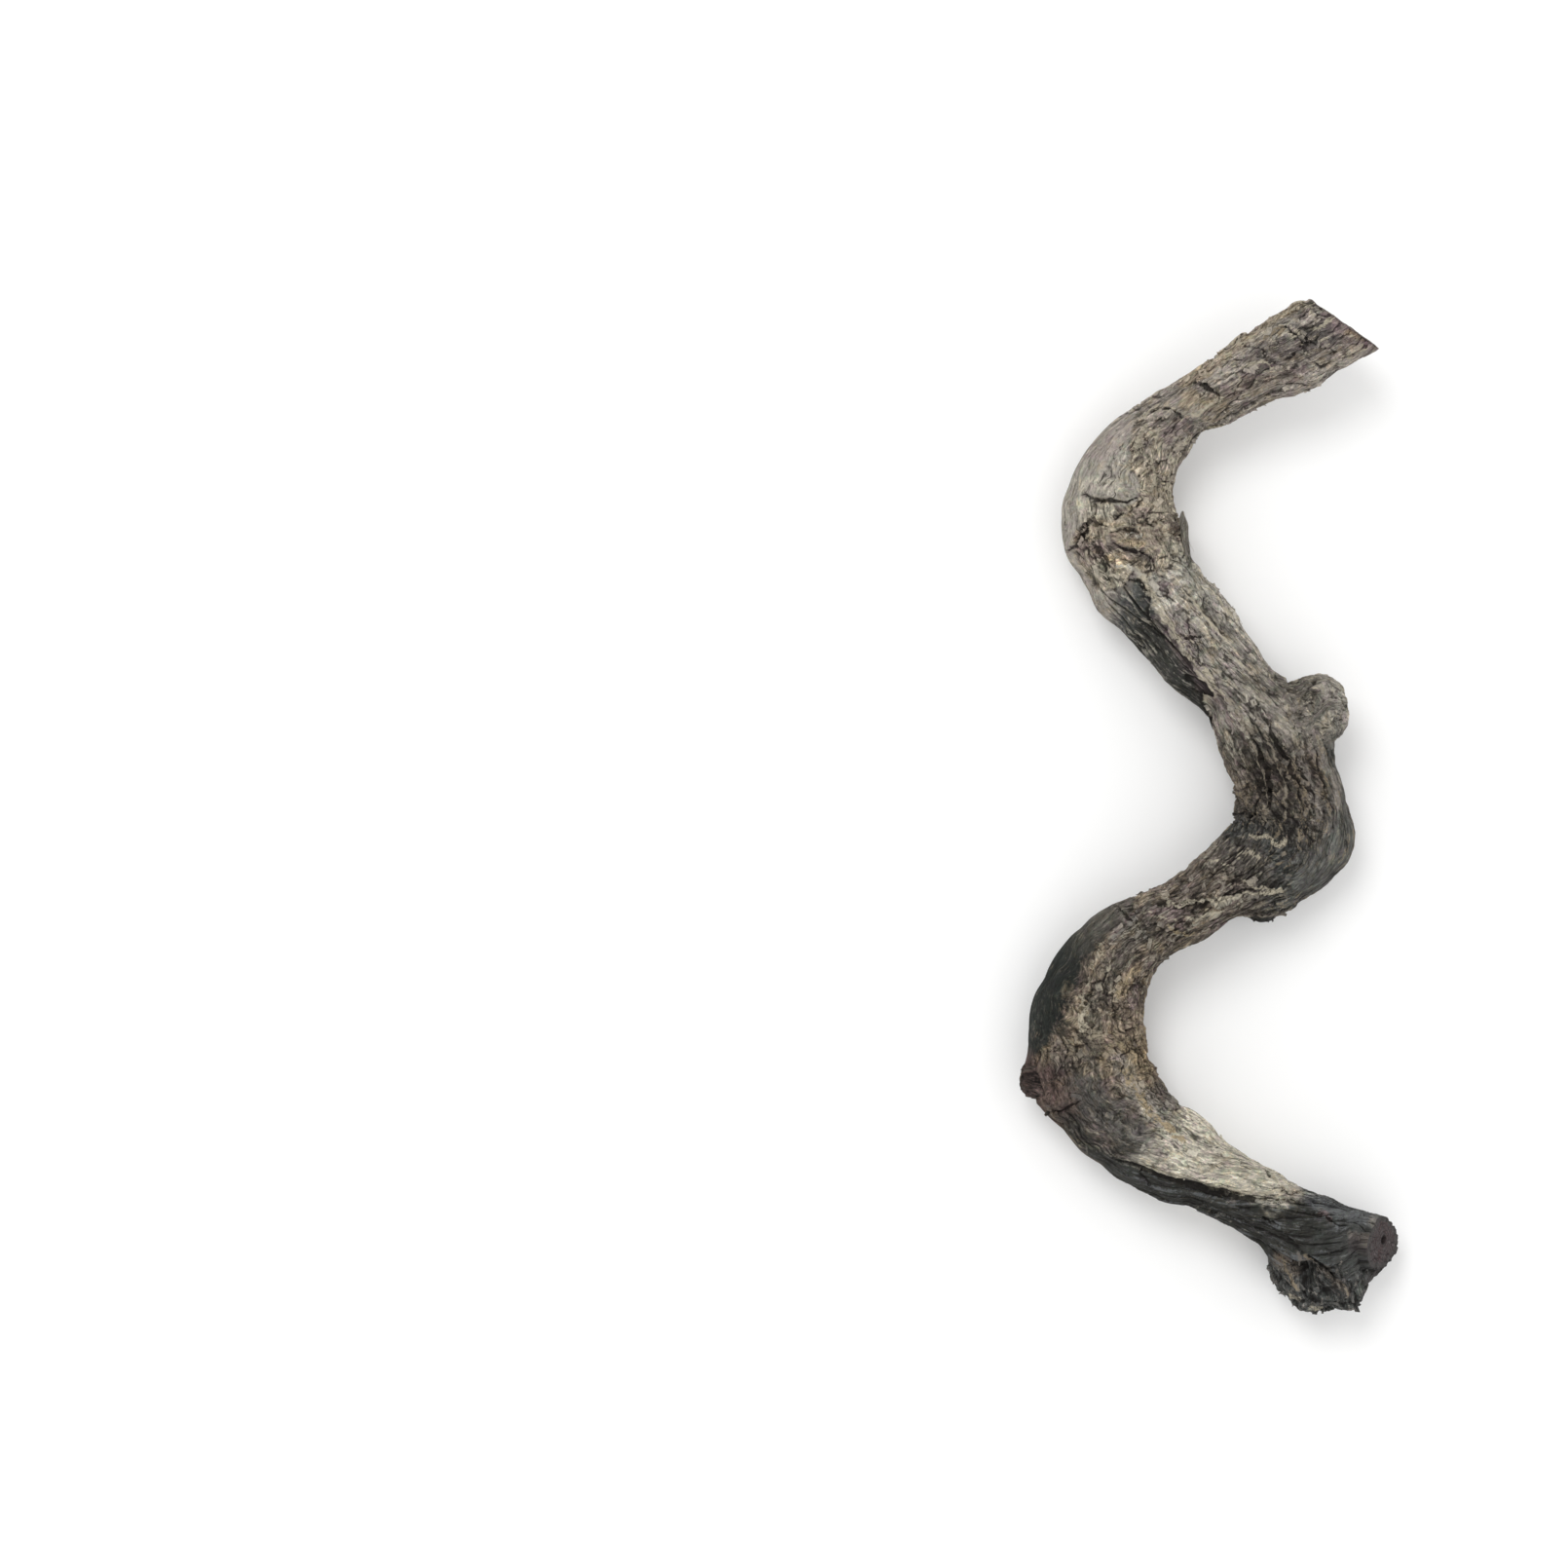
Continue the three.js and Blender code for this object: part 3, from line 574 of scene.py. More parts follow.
# Where the outline swells, or where less than 0 falls in, seen from above: millimetres, half
# width, line in plan.
outlineBumps = [
    (-1.1, 4.0, [(14.0, 140.6), (19.0, 144.0)]), (-1.1, 4.0, [(-1.0, 131.0), (3.0, 133.6)]),
    (-1.3, 4.5, [(-25.0, 114.0), (-34.0, 105.0), (-41.0, 94.0)]), (1.2, 3.5, [(24.0, 119.6), (28.5, 122.0)]),
    (-0.8, 3.5, [(36.0, 125.5), (44.0, 129.0)]), (-1.6, 3.5, [(-3.0, 105.4), (-1.0, 107.6)]),
    (-2.2, 4.5, [(-4.0, 76.0), (-1.5, 68.0)]), (-1.3, 4.0, [(-38.5, 66.5), (-35.5, 62.5)]),
    (-1.0, 4.0, [(-27.0, 52.0), (-22.0, 48.0)]), (-2.8, 5.0, [(-7.0, 32.0), (-2.0, 27.0)]),
    (-1.4, 4.0, [(2.0, 18.0), (5.0, 8.0)]), (-1.3, 3.5, [(19.0, 40.0), (22.0, 37.0)]),
    (0.8, 3.0, [(28.0, 38.0), (33.0, 38.0)]), (-0.9, 3.0, [(41.0, 31.0), (41.0, 26.0)]),
    (-1.8, 5.0, [(38.5, 12.0), (41.5, -2.0)]), (-2.3, 5.0, [(37.0, -22.0), (30.0, -28.0)]),
    (-2.6, 4.5, [(10.0, -34.5), (6.0, -37.0)]), (-1.6, 4.5, [(-9.0, -46.5), (-16.0, -50.0)]),
    (-1.2, 4.0, [(-38.0, -38.0), (-48.0, -51.0)]), (1.7, 4.0, [(-5.0, -91.0), (-1.0, -95.0)]),
    (-1.7, 4.5, [(-43.0, -97.0), (-33.0, -106.0)]), (-3.6, 5.5, [(-6.0, -118.0), (0.0, -121.0)]),
    (-3.6, 5.5, [(7.0, -125.0), (13.0, -128.5)]), (-1.9, 5.0, [(30.0, -112.5), (40.0, -117.0)]),
    (-2.6, 5.0, [(24.0, -145.0), (30.0, -148.0)]), (1.6, 3.5, [(42.0, -144.0), (43.5, -147.0)]),
]
# Where the upper side is worn smooth: how much, half width, line in plan.
wornPlaces = [
    (0.85, 6.5, [(38.0, 8.0), (40.0, -2.0), (38.0, -12.0), (30.0, -22.0)]),
    (0.2, 7.0, [(14.0, 16.0), (18.0, 4.0), (19.0, -6.0)]),
    (0.6, 6.0, [(-38.0, -84.0), (-30.0, -92.0), (-21.0, -98.5)]),
    (0.7, 6.5, [(-7.0, -100.0), (3.0, -105.5), (12.0, -109.5), (21.0, -112.6)]),
    (0.75, 5.5, [(-27.0, 79.0), (-18.0, 76.0)]),
    (0.5, 2.5, [(28.0, 123.5), (36.0, 125.5), (44.0, 129.0)]),
    (0.85, 2.8, [(-11.4, 116.0), (-5.6, 114.2)]),
]

# Colour on the upper side, in plan: colour, strength, half width, line. Washes are wide and soft,
# strokes are thin and catch only on the crests.
washes = [
    ("bone", 0.35, 2.4, [(12.3, 133.7), (19.0, 136.6)]),
    ("tan", 0.65, 2.2, [(-8.0, 122.5), (4.0, 131.0), (14.0, 138.6), (24.0, 145.6)]),
    ("tan", 0.6, 2.6, [(-8.0, 117.0), (1.0, 115.5)]),
    ("plumCoal", 0.6, 4.4, [(14.0, 129.6), (22.0, 131.6), (31.0, 134.0)]),
    ("coal", 0.45, 3.4, [(18.0, 137.4), (25.0, 134.6), (31.0, 135.0)]),
    ("barkGrey", 0.5, 2.4, [(29.0, 143.4), (33.0, 141.0)]),
    ("umber", 0.5, 2.6, [(2.0, 117.6), (12.0, 121.0), (20.0, 123.6)]),
    ("mauve", 0.95, 5.2, [(36.0, 140.0), (43.0, 134.0)]),
    ("ochre", 0.5, 1.2, [(37.4, 135.0), (41.0, 134.2)]),
    ("paleAsh", 0.7, 2.2, [(28.0, 123.5), (36.0, 125.5), (45.0, 129.4)]),
    ("bone", 0.4, 2.2, [(-37.0, 93.6), (-27.0, 91.8)]),
    ("plumGrey", 0.5, 4.0, [(-32.0, 103.0), (-26.0, 110.0)]),
    ("bone", 0.85, 2.8, [(-37.0, 85.8), (-31.0, 85.0)]),
    ("plumCoal", 0.4, 2.6, [(-27.0, 82.6), (-20.0, 82.4), (-11.0, 81.0)]),
    ("umber", 0.5, 3.4, [(-30.0, 79.0), (-22.0, 78.6), (-13.0, 78.0)]),
    ("mauve", 0.5, 2.6, [(-39.0, 76.0), (-36.0, 72.0)]),
    ("plumCoal", 0.85, 1.4, [(-29.6, 75.0), (-25.0, 73.6), (-20.4, 73.2), (-18.4, 71.0)]),
    ("straw", 0.6, 1.0, lines["scarStraw"]),
    ("straw", 0.6, 1.4, [(-29.4, 71.2), (-25.8, 70.4)]),
    ("lichen", 0.4, 2.6, [(-33.0, 67.6), (-29.0, 64.6)]),
    ("bone", 0.3, 1.3, [(-25.4, 69.2), (-21.0, 66.6), (-17.0, 61.6)]),
    ("mauve", 0.4, 2.6, [(-14.6, 53.6), (-8.8, 44.6), (-3.2, 36.6), (2.8, 29.2)]),
    ("lichen", 0.5, 3.4, [(-11.0, 74.0), (-6.0, 66.0), (-2.0, 58.0)]),
    ("ash", 0.4, 3.6, [(-3.0, 64.0), (4.0, 56.0), (12.0, 46.0)]),
    ("greenGrey", 0.9, 6.2, [(35.0, 17.0), (40.0, 4.0), (40.0, -8.0), (34.0, -20.0), (22.0, -28.0)]),
    ("soot", 0.4, 7.0, [(14.0, 15.0), (18.0, 4.0), (19.0, -6.0)]),
    ("grey", 0.7, 6.0, [(12.0, 28.0), (22.0, 24.0), (30.0, 22.0)]),
    ("barkGrey", 0.6, 1.8, lines["neckRidge"]),
    ("barkGrey", 0.6, 1.7, lines["neckRim"]),
    ("dullGrey", 0.6, 1.2, [(-29.0, -39.0), (-22.9, -33.9), (-17.9, -28.0)]),
    ("ochre", 0.4, 2.6, [(-23.7, -48.9), (-27.1, -54.0)]),
    ("straw", 0.7, 1.1, [(-37.6, -57.3), (-38.0, -65.0)]),
    ("ochre", 0.35, 4.0, [(-14.0, -56.0), (-15.0, -68.0), (-20.0, -80.0)]),
    ("ash", 0.45, 3.4, [(-27.1, -75.8), (-22.0, -84.0), (-14.0, -93.0)]),
    ("dullGrey", 0.7, 3.6, [(-20.6, -36.6), (-29.4, -47.6), (-35.0, -60.6), (-36.0, -73.0)]),
    ("plumCoal", 0.6, 5.0, [(-44.6, -78.0), (-38.0, -88.0)]),
    ("redBrown", 0.6, 3.0, [(-47.6, -78.0), (-46.0, -87.0)]),
    ("soot", 0.9, 4.6, [(-44.6, -91.0), (-35.6, -101.0), (-24.6, -109.0), (-11.0, -116.0)]),
    ("dullGrey", 0.6, 5.0, [(-44.0, -72.0), (-37.0, -79.0), (-34.0, -90.0)]),
    ("coal", 0.65, 5.4, [(-37.0, -83.0), (-30.0, -91.0), (-22.0, -98.0)]),
    ("chaff", 0.9, 5.8, [(-6.0, -99.0), (3.0, -104.6), (12.0, -109.2), (19.0, -111.6)]),
    ("umber", 0.4, 1.3, [(-2.0, -100.6), (4.0, -104.0), (9.0, -107.4)]),
    ("mauve", 0.4, 2.0, [(19.6, -112.4), (24.0, -113.6)]),
    ("slate", 0.45, 2.2, [(28.0, -114.6), (36.0, -118.0), (46.0, -121.6)]),
    ("mauve", 0.7, 0.9, [(31.4, -118.7), (34.0, -120.3)]),
    ("barkGrey", 0.5, 1.2, [(40.0, -125.4), (43.4, -126.0), (48.0, -126.6)]),
    ("plumCoal", 0.7, 3.4, [(42.6, -128.0), (48.0, -129.0), (51.0, -134.0)]),
    ("barkGrey", 0.6, 1.8, [(47.6, -122.0), (50.6, -123.6)]),
    ("barkGrey", 0.5, 1.4, [(44.0, -127.0), (48.0, -128.0)]),
    ("umber", 0.5, 2.2, [(19.6, -132.8), (24.4, -135.6)]),
    ("umber", 0.5, 1.3, [(31.6, -134.6), (35.4, -138.6), (39.4, -142.2)]),
    ("bone", 0.5, 0.8, [(23.2, -144.0), (25.4, -144.8)]),
    ("bone", 0.5, 0.9, [(29.4, -147.2), (32.4, -148.0)]),
]
strokes = [
    ("cream", 0.9, 0.7, lines["cutRidge"]),
    ("cream", 0.8, 1.0, lines["cutLip"]),
    ("tan", 0.8, 1.5, [(41.5, 135.4), (44.5, 134.6)]),
    ("tan", 0.7, 1.8, [(13.4, 134.6), (18.6, 136.6)]),
    ("cream", 0.75, 1.0, [(8.1, 125.9), (14.4, 127.2)]),
    ("cream", 0.6, 1.3, [(20.7, 141.5), (25.7, 146.5)]),
    ("cream", 0.7, 1.2, lines["armRidge"]),
    ("bone", 0.6, 2.2, [(-3.0, 115.4), (-8.0, 113.6)]),
    ("cream", 0.8, 0.6, [(-19.5, 113.0), (-20.0, 108.8), (-22.1, 106.3), (-21.2, 102.1), (-24.6, 98.7)]),
    ("cream", 0.9, 0.9, [(-24.8, 99.2), (-25.2, 95.2)]),
    ("cream", 0.8, 0.6, lines["bendRidge"]),
    ("cream", 0.8, 1.2, [(-16.0, 105.6), (-15.4, 103.6)]),
    ("cream", 0.7, 0.6, lines["innerBendRidge"]),
    ("chalk", 1.0, 0.35, [(-25.0, 78.2), (-20.9, 78.0)]),
    ("chalk", 1.0, 0.5, [(-28.2, 69.1), (-27.0, 68.7)]),
    ("cream", 0.8, 0.9, [(-29.0, 71.9), (-26.6, 71.6)]),
    ("chalk", 0.9, 1.2, [(-25.0, 69.0), (-21.0, 66.4), (-16.6, 61.2)]),
    ("chalk", 0.8, 1.2, [(-38.6, 85.4), (-34.6, 84.2), (-31.0, 85.8)]),
    ("straw", 0.8, 0.9, lines["scarStraw"]),
    ("cream", 0.8, 0.8, [(-17.0, 84.6), (-13.0, 85.6), (-11.4, 83.6)]),
    ("bone", 0.8, 0.7, [(28.0, 145.2), (36.0, 139.2), (46.0, 132.2)]),
    ("chalk", 0.9, 0.5, [(-32.0, 62.0), (-27.4, 60.9), (-23.1, 58.6)]),
    ("ash", 0.4, 0.3, [(-22.0, 53.0), (-17.4, 47.6), (-8.4, 37.2)]),
    ("ash", 0.4, 0.3, [(-27.5, 53.0), (-20.6, 45.6), (-13.0, 36.6)]),
    ("barkGrey", 0.75, 1.1, lines["neckRidge"]),
    ("barkGrey", 0.75, 1.0, lines["neckRim"]),
    ("barkTan", 0.6, 0.9, [(4.0, 30.0), (9.0, 22.0), (13.6, 12.0), (16.0, 2.0), (15.0, -6.0)]),
    ("barkTan", 0.6, 0.8, [(12.0, 24.0), (17.0, 15.0), (20.6, 5.0), (21.0, -4.0)]),
    ("cream", 0.7, 0.5, [(-19.0, 61.0), (-12.0, 50.4), (-4.0, 40.0), (2.6, 31.6)]),
    ("bone", 0.6, 0.5, [(-8.0, 67.0), (-2.0, 58.0), (5.4, 47.6), (12.0, 40.6)]),
    ("barkGrey", 0.8, 0.9, [(24.0, -131.4), (28.6, -133.2), (33.0, -136.6), (37.4, -140.6), (39.4, -145.0)]),
    ("tan", 0.7, 0.6, [(26.0, -131.0), (30.0, -133.0)]),
    ("tan", 0.7, 0.6, [(37.6, -139.6), (39.6, -143.6)]),
    ("cream", 0.9, 0.9, [(23.4, -143.6), (26.0, -145.0)]),
    ("cream", 0.9, 0.9, [(29.4, -147.0), (32.4, -147.8)]),
    ("tan", 0.8, 0.8, [(20.6, -131.6), (21.6, -136.4), (24.6, -141.0)]),
    ("ash", 0.6, 0.4, [(27.7, -142.0), (30.0, -142.6)]),
    ("bone", 0.8, 0.7, [(-38.0, 86.6), (-34.0, 87.4)]),
    ("bone", 0.8, 0.8, [(-37.6, 83.6), (-33.0, 84.6), (-28.0, 86.0)]),
    ("cream", 0.8, 0.8, [(-21.2, 88.4), (-15.0, 86.8), (-11.6, 86.4)]),
    ("cream", 0.7, 0.6, [(-21.2, 66.0), (-16.2, 59.3), (-12.9, 52.6), (-9.5, 46.7), (-4.5, 40.9),
                         (-1.1, 35.0)]),
    ("cream", 0.7, 0.5, lines["barkRidge"]),
    ("cream", 0.6, 0.5, lines["barkEdgeRidge"]),
    ("bone", 0.6, 0.5, [(-17.0, 70.0), (-10.0, 58.6), (-4.6, 50.6)]),
    ("cream", 1.0, 1.5, [(11.0, -9.2), (15.7, -9.8), (18.4, -12.0), (20.4, -10.6)]),
    ("cream", 0.9, 1.4, [(7.0, -15.6), (9.6, -14.0), (12.4, -15.4)]),
    ("cream", 0.8, 0.8, lines["saddleRidge"]),
    ("cream", 0.95, 0.45, lines["saddleFold"]),
    ("cream", 0.85, 0.4, lines["saddleEdge"]),
    ("straw", 0.95, 0.9, lines["saddleStraw"]),
    ("ash", 0.85, 0.8, [(-29.4, -39.4), (-25.6, -36.0), (-22.0, -31.4)]),
    ("ash", 0.85, 1.6, [(-21.6, -37.6), (-18.8, -39.0)]),
    ("cream", 0.85, 0.4, [(-21.0, -31.0), (-14.0, -33.4), (-6.0, -33.0), (2.0, -31.4)]),
    ("cream", 0.6, 0.7, [(-1.1, -16.3), (3.9, -17.9)]),
    ("cream", 1.0, 1.9, [(-37.6, -56.3), (-38.0, -65.2)]),
    ("neck", 0.0, 12.0, [(-46.0, -78.0), (-40.0, -90.0)]),
    ("straw", 0.75, 2.4, [(-25.0, -77.0), (-18.5, -88.9), (-9.3, -97.3)]),
    ("straw", 0.9, 1.4, [(-23.9, -47.9), (-27.8, -55.7)]),
    ("straw", 0.95, 1.6, [(-26.3, -77.2), (-24.3, -81.1)]),
    ("straw", 0.7, 2.0, [(-27.0, -70.0), (-22.0, -74.0)]),
    ("straw", 0.6, 1.2, [(-17.0, -52.0), (-19.4, -62.0), (-17.6, -70.0)]),
    ("chalk", 1.0, 1.8, [(-21.0, -99.2), (-20.0, -100.7)]),
    ("cream", 0.8, 0.7, [(-8.0, -110.2), (2.0, -111.6), (9.6, -112.6), (20.0, -112.8)]),
]
creases = [
    (0.9, 0.7, [(-29.6, -103.1), (-21.2, -105.6), (-12.9, -109.0), (-1.1, -112.3), (9.8, -113.8),
                (19.9, -114.0), (27.4, -112.8)]),
]


# The same coordinates swirled a little, as fibres wander.
def swirled(grain, much):
    broad = together(("warpX", "warpY", "warpZ"), grain / 9 + 20)
    narrow = together(("warpZ", "warpX", "warpY"), grain / 3.2 + 60)
    return grain + (2.6 * broad + 0.8 * narrow) * np.expand_dims(much, -1)


# Coordinates that run with the grain, closed round the limb, for every pattern on the wood.
def grainPlace(angle, along, turn, radius):
    return np.stack([radius * np.cos(angle + turn), radius * np.sin(angle + turn), along], axis=-1)


# The relief's patterns: how wide they are across and along the grain, and how high, in millimetres.
strands = {
    "drift": (6.0, 6.0, 16.0), "shift": (1.6, 1.6, 6.0), "strand": (5.2, 5.2, 34.0),
    "splinter": (1.9, 1.9, 17.0), "groove": (6.0, 6.0, 15.0), "lump": (6.0, 6.0, 15.0),
    "strandHigh": 0.75, "splinterHigh": 0.3, "grooveDeep": 0.9, "lumpHigh": 0.9,
}
looseLayers = {
    "drift": 5.5, "shift": 1.8, "jag": 1.7, "jagShift": 0.5, "plate": (6.6, 6.6, 17.0),
    "scale": (2.7, 2.7, 7.5), "lump": (9.0, 9.0, 15.0), "gap": 6.0, "fibre": (1.7, 1.7, 11.0),
    "crumb": (1.3, 1.3, 1.7),
    "plateHigh": 0.66, "scaleHigh": 0.28, "lumpHigh": 1.6, "gapDeep": 1.0, "fibreHigh": 0.3, "crumbHigh": 0.2,
}
bareWood = {
    "dent": (8.0, 8.0, 20.0), "line": (1.2, 1.2, 20.0), "crumb": (1.6, 1.6, 4.0),
    "dentDeep": 0.5, "lineHigh": 0.18, "crumbHigh": 0.14,
}


# Long splintered strands, each at its own height, with a groove between some of them.
def twisted(grain):
    look = strands
    drift = together(("warpX", "warpY", "warpZ"), grain / look["drift"])
    place = grain + drift * look["shift"]
    high, edge = broadPlates(place / look["strand"] + 17)
    thin, _ = smallPlates(place / look["splinter"])
    groove = ramp(0.12, 0.0, edge) * ramp(-0.3, 0.2, noises["patch"](grain / look["groove"] + 5))
    lump = layered("lump", grain / look["lump"] + 9, 3)
    relief = look["strandHigh"] * high + look["splinterHigh"] * thin - look["grooveDeep"] * groove
    return relief + look["lumpHigh"] * lump


# Loose layered bark: plates at their own heights, gaps between them, fibres, crumbs and strands.
def barkRelief(grain, style):
    look = looseLayers
    drift = together(("warpX", "warpY", "warpZ"), grain / look["drift"])
    jag = together(("warpY", "warpZ", "warpX"), grain / look["jag"])
    place = grain + look["shift"] * drift + look["jagShift"] * jag
    plate, edge = broadPlates(place / look["plate"])
    scale, _ = smallPlates(place / look["scale"])
    lump = layered("lump", grain / look["lump"], 4, 0.45)
    gap = ramp(0.11, 0.01, edge) * ramp(-0.15, 0.2, noises["patch"](grain / look["gap"]))
    fibre = crests("fibre", place / look["fibre"], 3)
    crumb = layered("crumb", grain / look["crumb"], 2)
    relief = look["lumpHigh"] * lump + look["plateHigh"] * plate + look["scaleHigh"] * scale
    relief = style["plates"] * (relief - look["gapDeep"] * gap)
    relief = relief + style["fibres"] * look["fibreHigh"] * (fibre - 0.6)
    relief = relief + style["crumbs"] * look["crumbHigh"] * crumb
    return relief + style["strands"] * twisted(grain), plate, ramp(0.3, 0.05, edge)


# Bare wood worn smooth: slow dents, faint grain lines, and strands where the stem twists.
def bareRelief(grain, style):
    look = bareWood
    dent, line = (layered(name, grain / look[name], 3) for name in ("dent", "line"))
    crumb = layered("crumb", grain / look["crumb"], 2)
    relief = look["dentDeep"] * dent + look["lineHigh"] * line + look["crumbHigh"] * crumb
    return relief + style["bareStrands"] * twisted(grain)


# Places in plan, shaken a little so that no mark runs smooth.
def plan(points):
    shift, jag = (together(("planX", "planY"), points / size) for size in (3.4, 1.2))
    return points[..., :2] + 0.7 * shift + 0.32 * jag


def markRelief(points, above):
    flat = plan(points)
    relief = np.zeros(points.shape[:-1])
    for high, half, line in folds + ridges:
        away, share = toLine(flat, line)
        relief += high * np.exp(-(away / half) ** 2) * np.sin(np.pi * np.clip(share, 0.04, 0.96)) ** 0.4
    for deep, half, line in cracks + creases:
        away, share = toLine(flat, line)
        thin = half * (0.35 + np.sin(np.pi * share))
        relief += 0.3 * np.exp(-((away - 2.2 * thin) / 0.9) ** 2)
        relief -= deep * np.exp(-(away / thin) ** 4) * np.sin(np.pi * np.clip(share, 0.05, 0.95)) ** 0.3
    return relief * above


def outlineRelief(points, outward):
    relief = np.zeros(points.shape[:-1])
    for much, half, line in outlineBumps:
        away, _ = toLine(points[..., :2], line)
        relief += much * np.exp(-(away / half) ** 2)
    return relief * np.linalg.norm(outward[..., :2], axis=-1)


def wornAmount(points, above):
    kept = np.ones(points.shape[:-1])
    for amount, half, line in wornPlaces:
        away, _ = toLine(points[..., :2], line)
        kept *= 1 - amount * ramp(1.3, 0.7, away / half)
    return 1 - (1 - kept) * above


# Washes tint the wood, and strokes say where its crests are worn to another colour. A stroke of
# strength 0 only changes that colour.
def paint(points, above, tones, dust):
    flat = plan(points)
    wavy = flat + 0.8 * together(("planY", "planX"), points / 2.1 + 7)
    soft = layered("broken", points / 3.5, 3, 0.6)
    rough = layered("broken", points / 1.3 + 40, 2, 0.7)
    for name, strength, half, line in washes:
        away, _ = toLine(flat, line)
        mask = strength * above * ramp(1.35, 0.45, away / half + 0.8 * soft)
        for tone in tones:
            tone += mask[..., None] * (palette[name] - tone)
    worn = np.zeros(points.shape[:-1])
    for name, strength, half, line in strokes:
        away, _ = toLine(wavy, line)
        mask = above * ramp(1.3, 0.2, away / (0.2 + 0.55 * half) + 0.9 * rough)
        worn = np.maximum(worn, strength * mask)
        dust += ramp(0.15, 0.5, mask)[..., None] * (palette[name] - dust)
    return worn


def stopColours(station, column):
    at = [stop[0] for stop in toneStops]
    colours = np.array([palette[stop[column]] for stop in toneStops])
    return np.stack([np.interp(station, at, channel) for channel in colours.T], axis=-1)


# The colours of bark and of bare wood before the fine pattern of their material, and the colour
# of the crests.
def woodTones(station, bark, grain, plate, above):
    place = station + (1.2 - 0.8 * above) * layered("shade", grain / 9 + 50, 3)
    barkTone, bareTone = stopColours(place, 1), stopColours(place, 2)
    dust = stopColours(place, 4)
    dust = dust + bark[..., None] * (stopColours(place, 3) - dust)
    shade = layered("shade", grain / (6, 6, 9), 4, 0.65)
    even = 1 - 0.45 * ramp(22.8, 23.6, station) * ramp(26.2, 25.6, station)
    barkTone = barkTone * (1 + even * (0.45 * shade + 0.26 * plate))[..., None]
    bareTone = bareTone * (1 + 0.3 * shade)[..., None]
    warm = layered("warm", grain / (6, 6, 9), 4, 0.65)
    light = ramp(13, 11, station) + ramp(15, 16, station) * ramp(24, 22.5, station)
    tan = 0.6 * ramp(0.08, 0.34, warm) * light
    plum = 0.65 * ramp(-0.08, -0.34, warm) * light
    barkTone = barkTone + tan[..., None] * (palette["tan"] * 0.9 - barkTone)
    barkTone = barkTone + plum[..., None] * (palette["mauve"] - barkTone)
    return barkTone, bareTone, dust


def alongStem(section, name, shift=0):
    table = np.array(stem[name])
    return np.interp(section["station"] + shift, table[:, 0], table[:, 1])


# How far inside the bare wood a point lies, in millimetres round the stem.
def insideBare(section, angle, shift):
    middle = (section["bark"] + section["under"]) / 2
    half = (section["under"] - section["bark"]) / 2
    away = np.abs((np.degrees(angle) - middle + 180) % 360 - 180)
    inside = np.radians(half - away) * (section["wide"] + section["deep"]) / 4
    return inside - 30 * alongStem(section, "barkOnly", shift)


# Where each column of the stem's oval meets a saw cut, in millimetres along the stem.
def cutPlaces(axis, angle, cut, start, stop):
    along = np.linspace(start, stop, 500)
    places = along[:, None] + np.zeros(len(angle))
    points, _ = ovalPoints(sectionAt(axis, places), angle, 1.0)
    past = beyondCut(points, cut)
    first = np.clip(np.argmax(past < 0, axis=0), 1, len(along) - 1)
    column = np.arange(len(angle))
    outer, inner = past[first - 1, column], past[first, column]
    part = np.clip(outer / (outer - inner), 0, 1)
    return along[first - 1] + part * (along[first] - along[first - 1])


# Rings of points from a cut's rim to its pith, with saw marks, checks and a pith hole.
def sawnFace(rim, cut, rings, hole=None):
    normal = cutNormal(cut)
    across = unit(np.cross([0, 0, 1], normal))
    rise = np.cross(normal, across)
    middle = np.array(cut["at"]) + (0 if hole is None else hole["across"] * across + hole["up"] * rise)
    middle = middle - (middle - rim.mean(axis=0)) @ normal * normal
    share = np.linspace(1, 0.02, rings + 1)[1:, None, None] ** 1.15
    points = middle + (rim - middle) * share
    flat = np.stack([(points - middle) @ across, (points - middle) @ rise], axis=-1)
    away = np.linalg.norm(flat, axis=-1)
    place = np.concatenate([flat, 0 * flat[..., :1]], axis=-1)
    mark = layered("saw", place / (14.0, 0.7, 1.0), 2)
    turn = np.arctan2(flat[..., 1], flat[..., 0])
    check = crests("line", np.stack([turn * 2.2, away / 9, 0 * away], axis=-1), 1)
    dent = layered("dent", place / 4.5 + 9, 3)
    deep = 0.14 * mark + 0.8 * dent - 0.6 * ramp(0.9, 1.0, check) * ramp(0.6, 2.5, away) * ramp(14, 7, away)
    deep = deep * ramp(1.0, 0.93, share[..., 0])
    if hole is not None:
        radius = hole["diameter"] / 2
        deep = deep - hole["depth"] * ramp(radius + 0.25, radius - 0.15, away)
    return points + deep[..., None] * normal, place, away


# What is worn and chipped off a saw cut's rim, by how far a point is from the cut.
def rimWear(points, cut, angle, grain):
    away = -beyondCut(points, cut)
    chips = layered("ragged", grain / 4.0 + 70, 4, 0.65)
    wear = (0.35 + 2.2 * np.maximum(chips, 0)) * ramp(1, 0, away / 2.0) ** 2
    for turn, deep in cut["corners"]:
        corner = ramp(0.2, 1.0, np.cos(angle - math.radians(turn)))
        wear = wear + deep * corner * ramp(1, 0, away / (1.5 + 4 * corner)) ** 2
    return wear


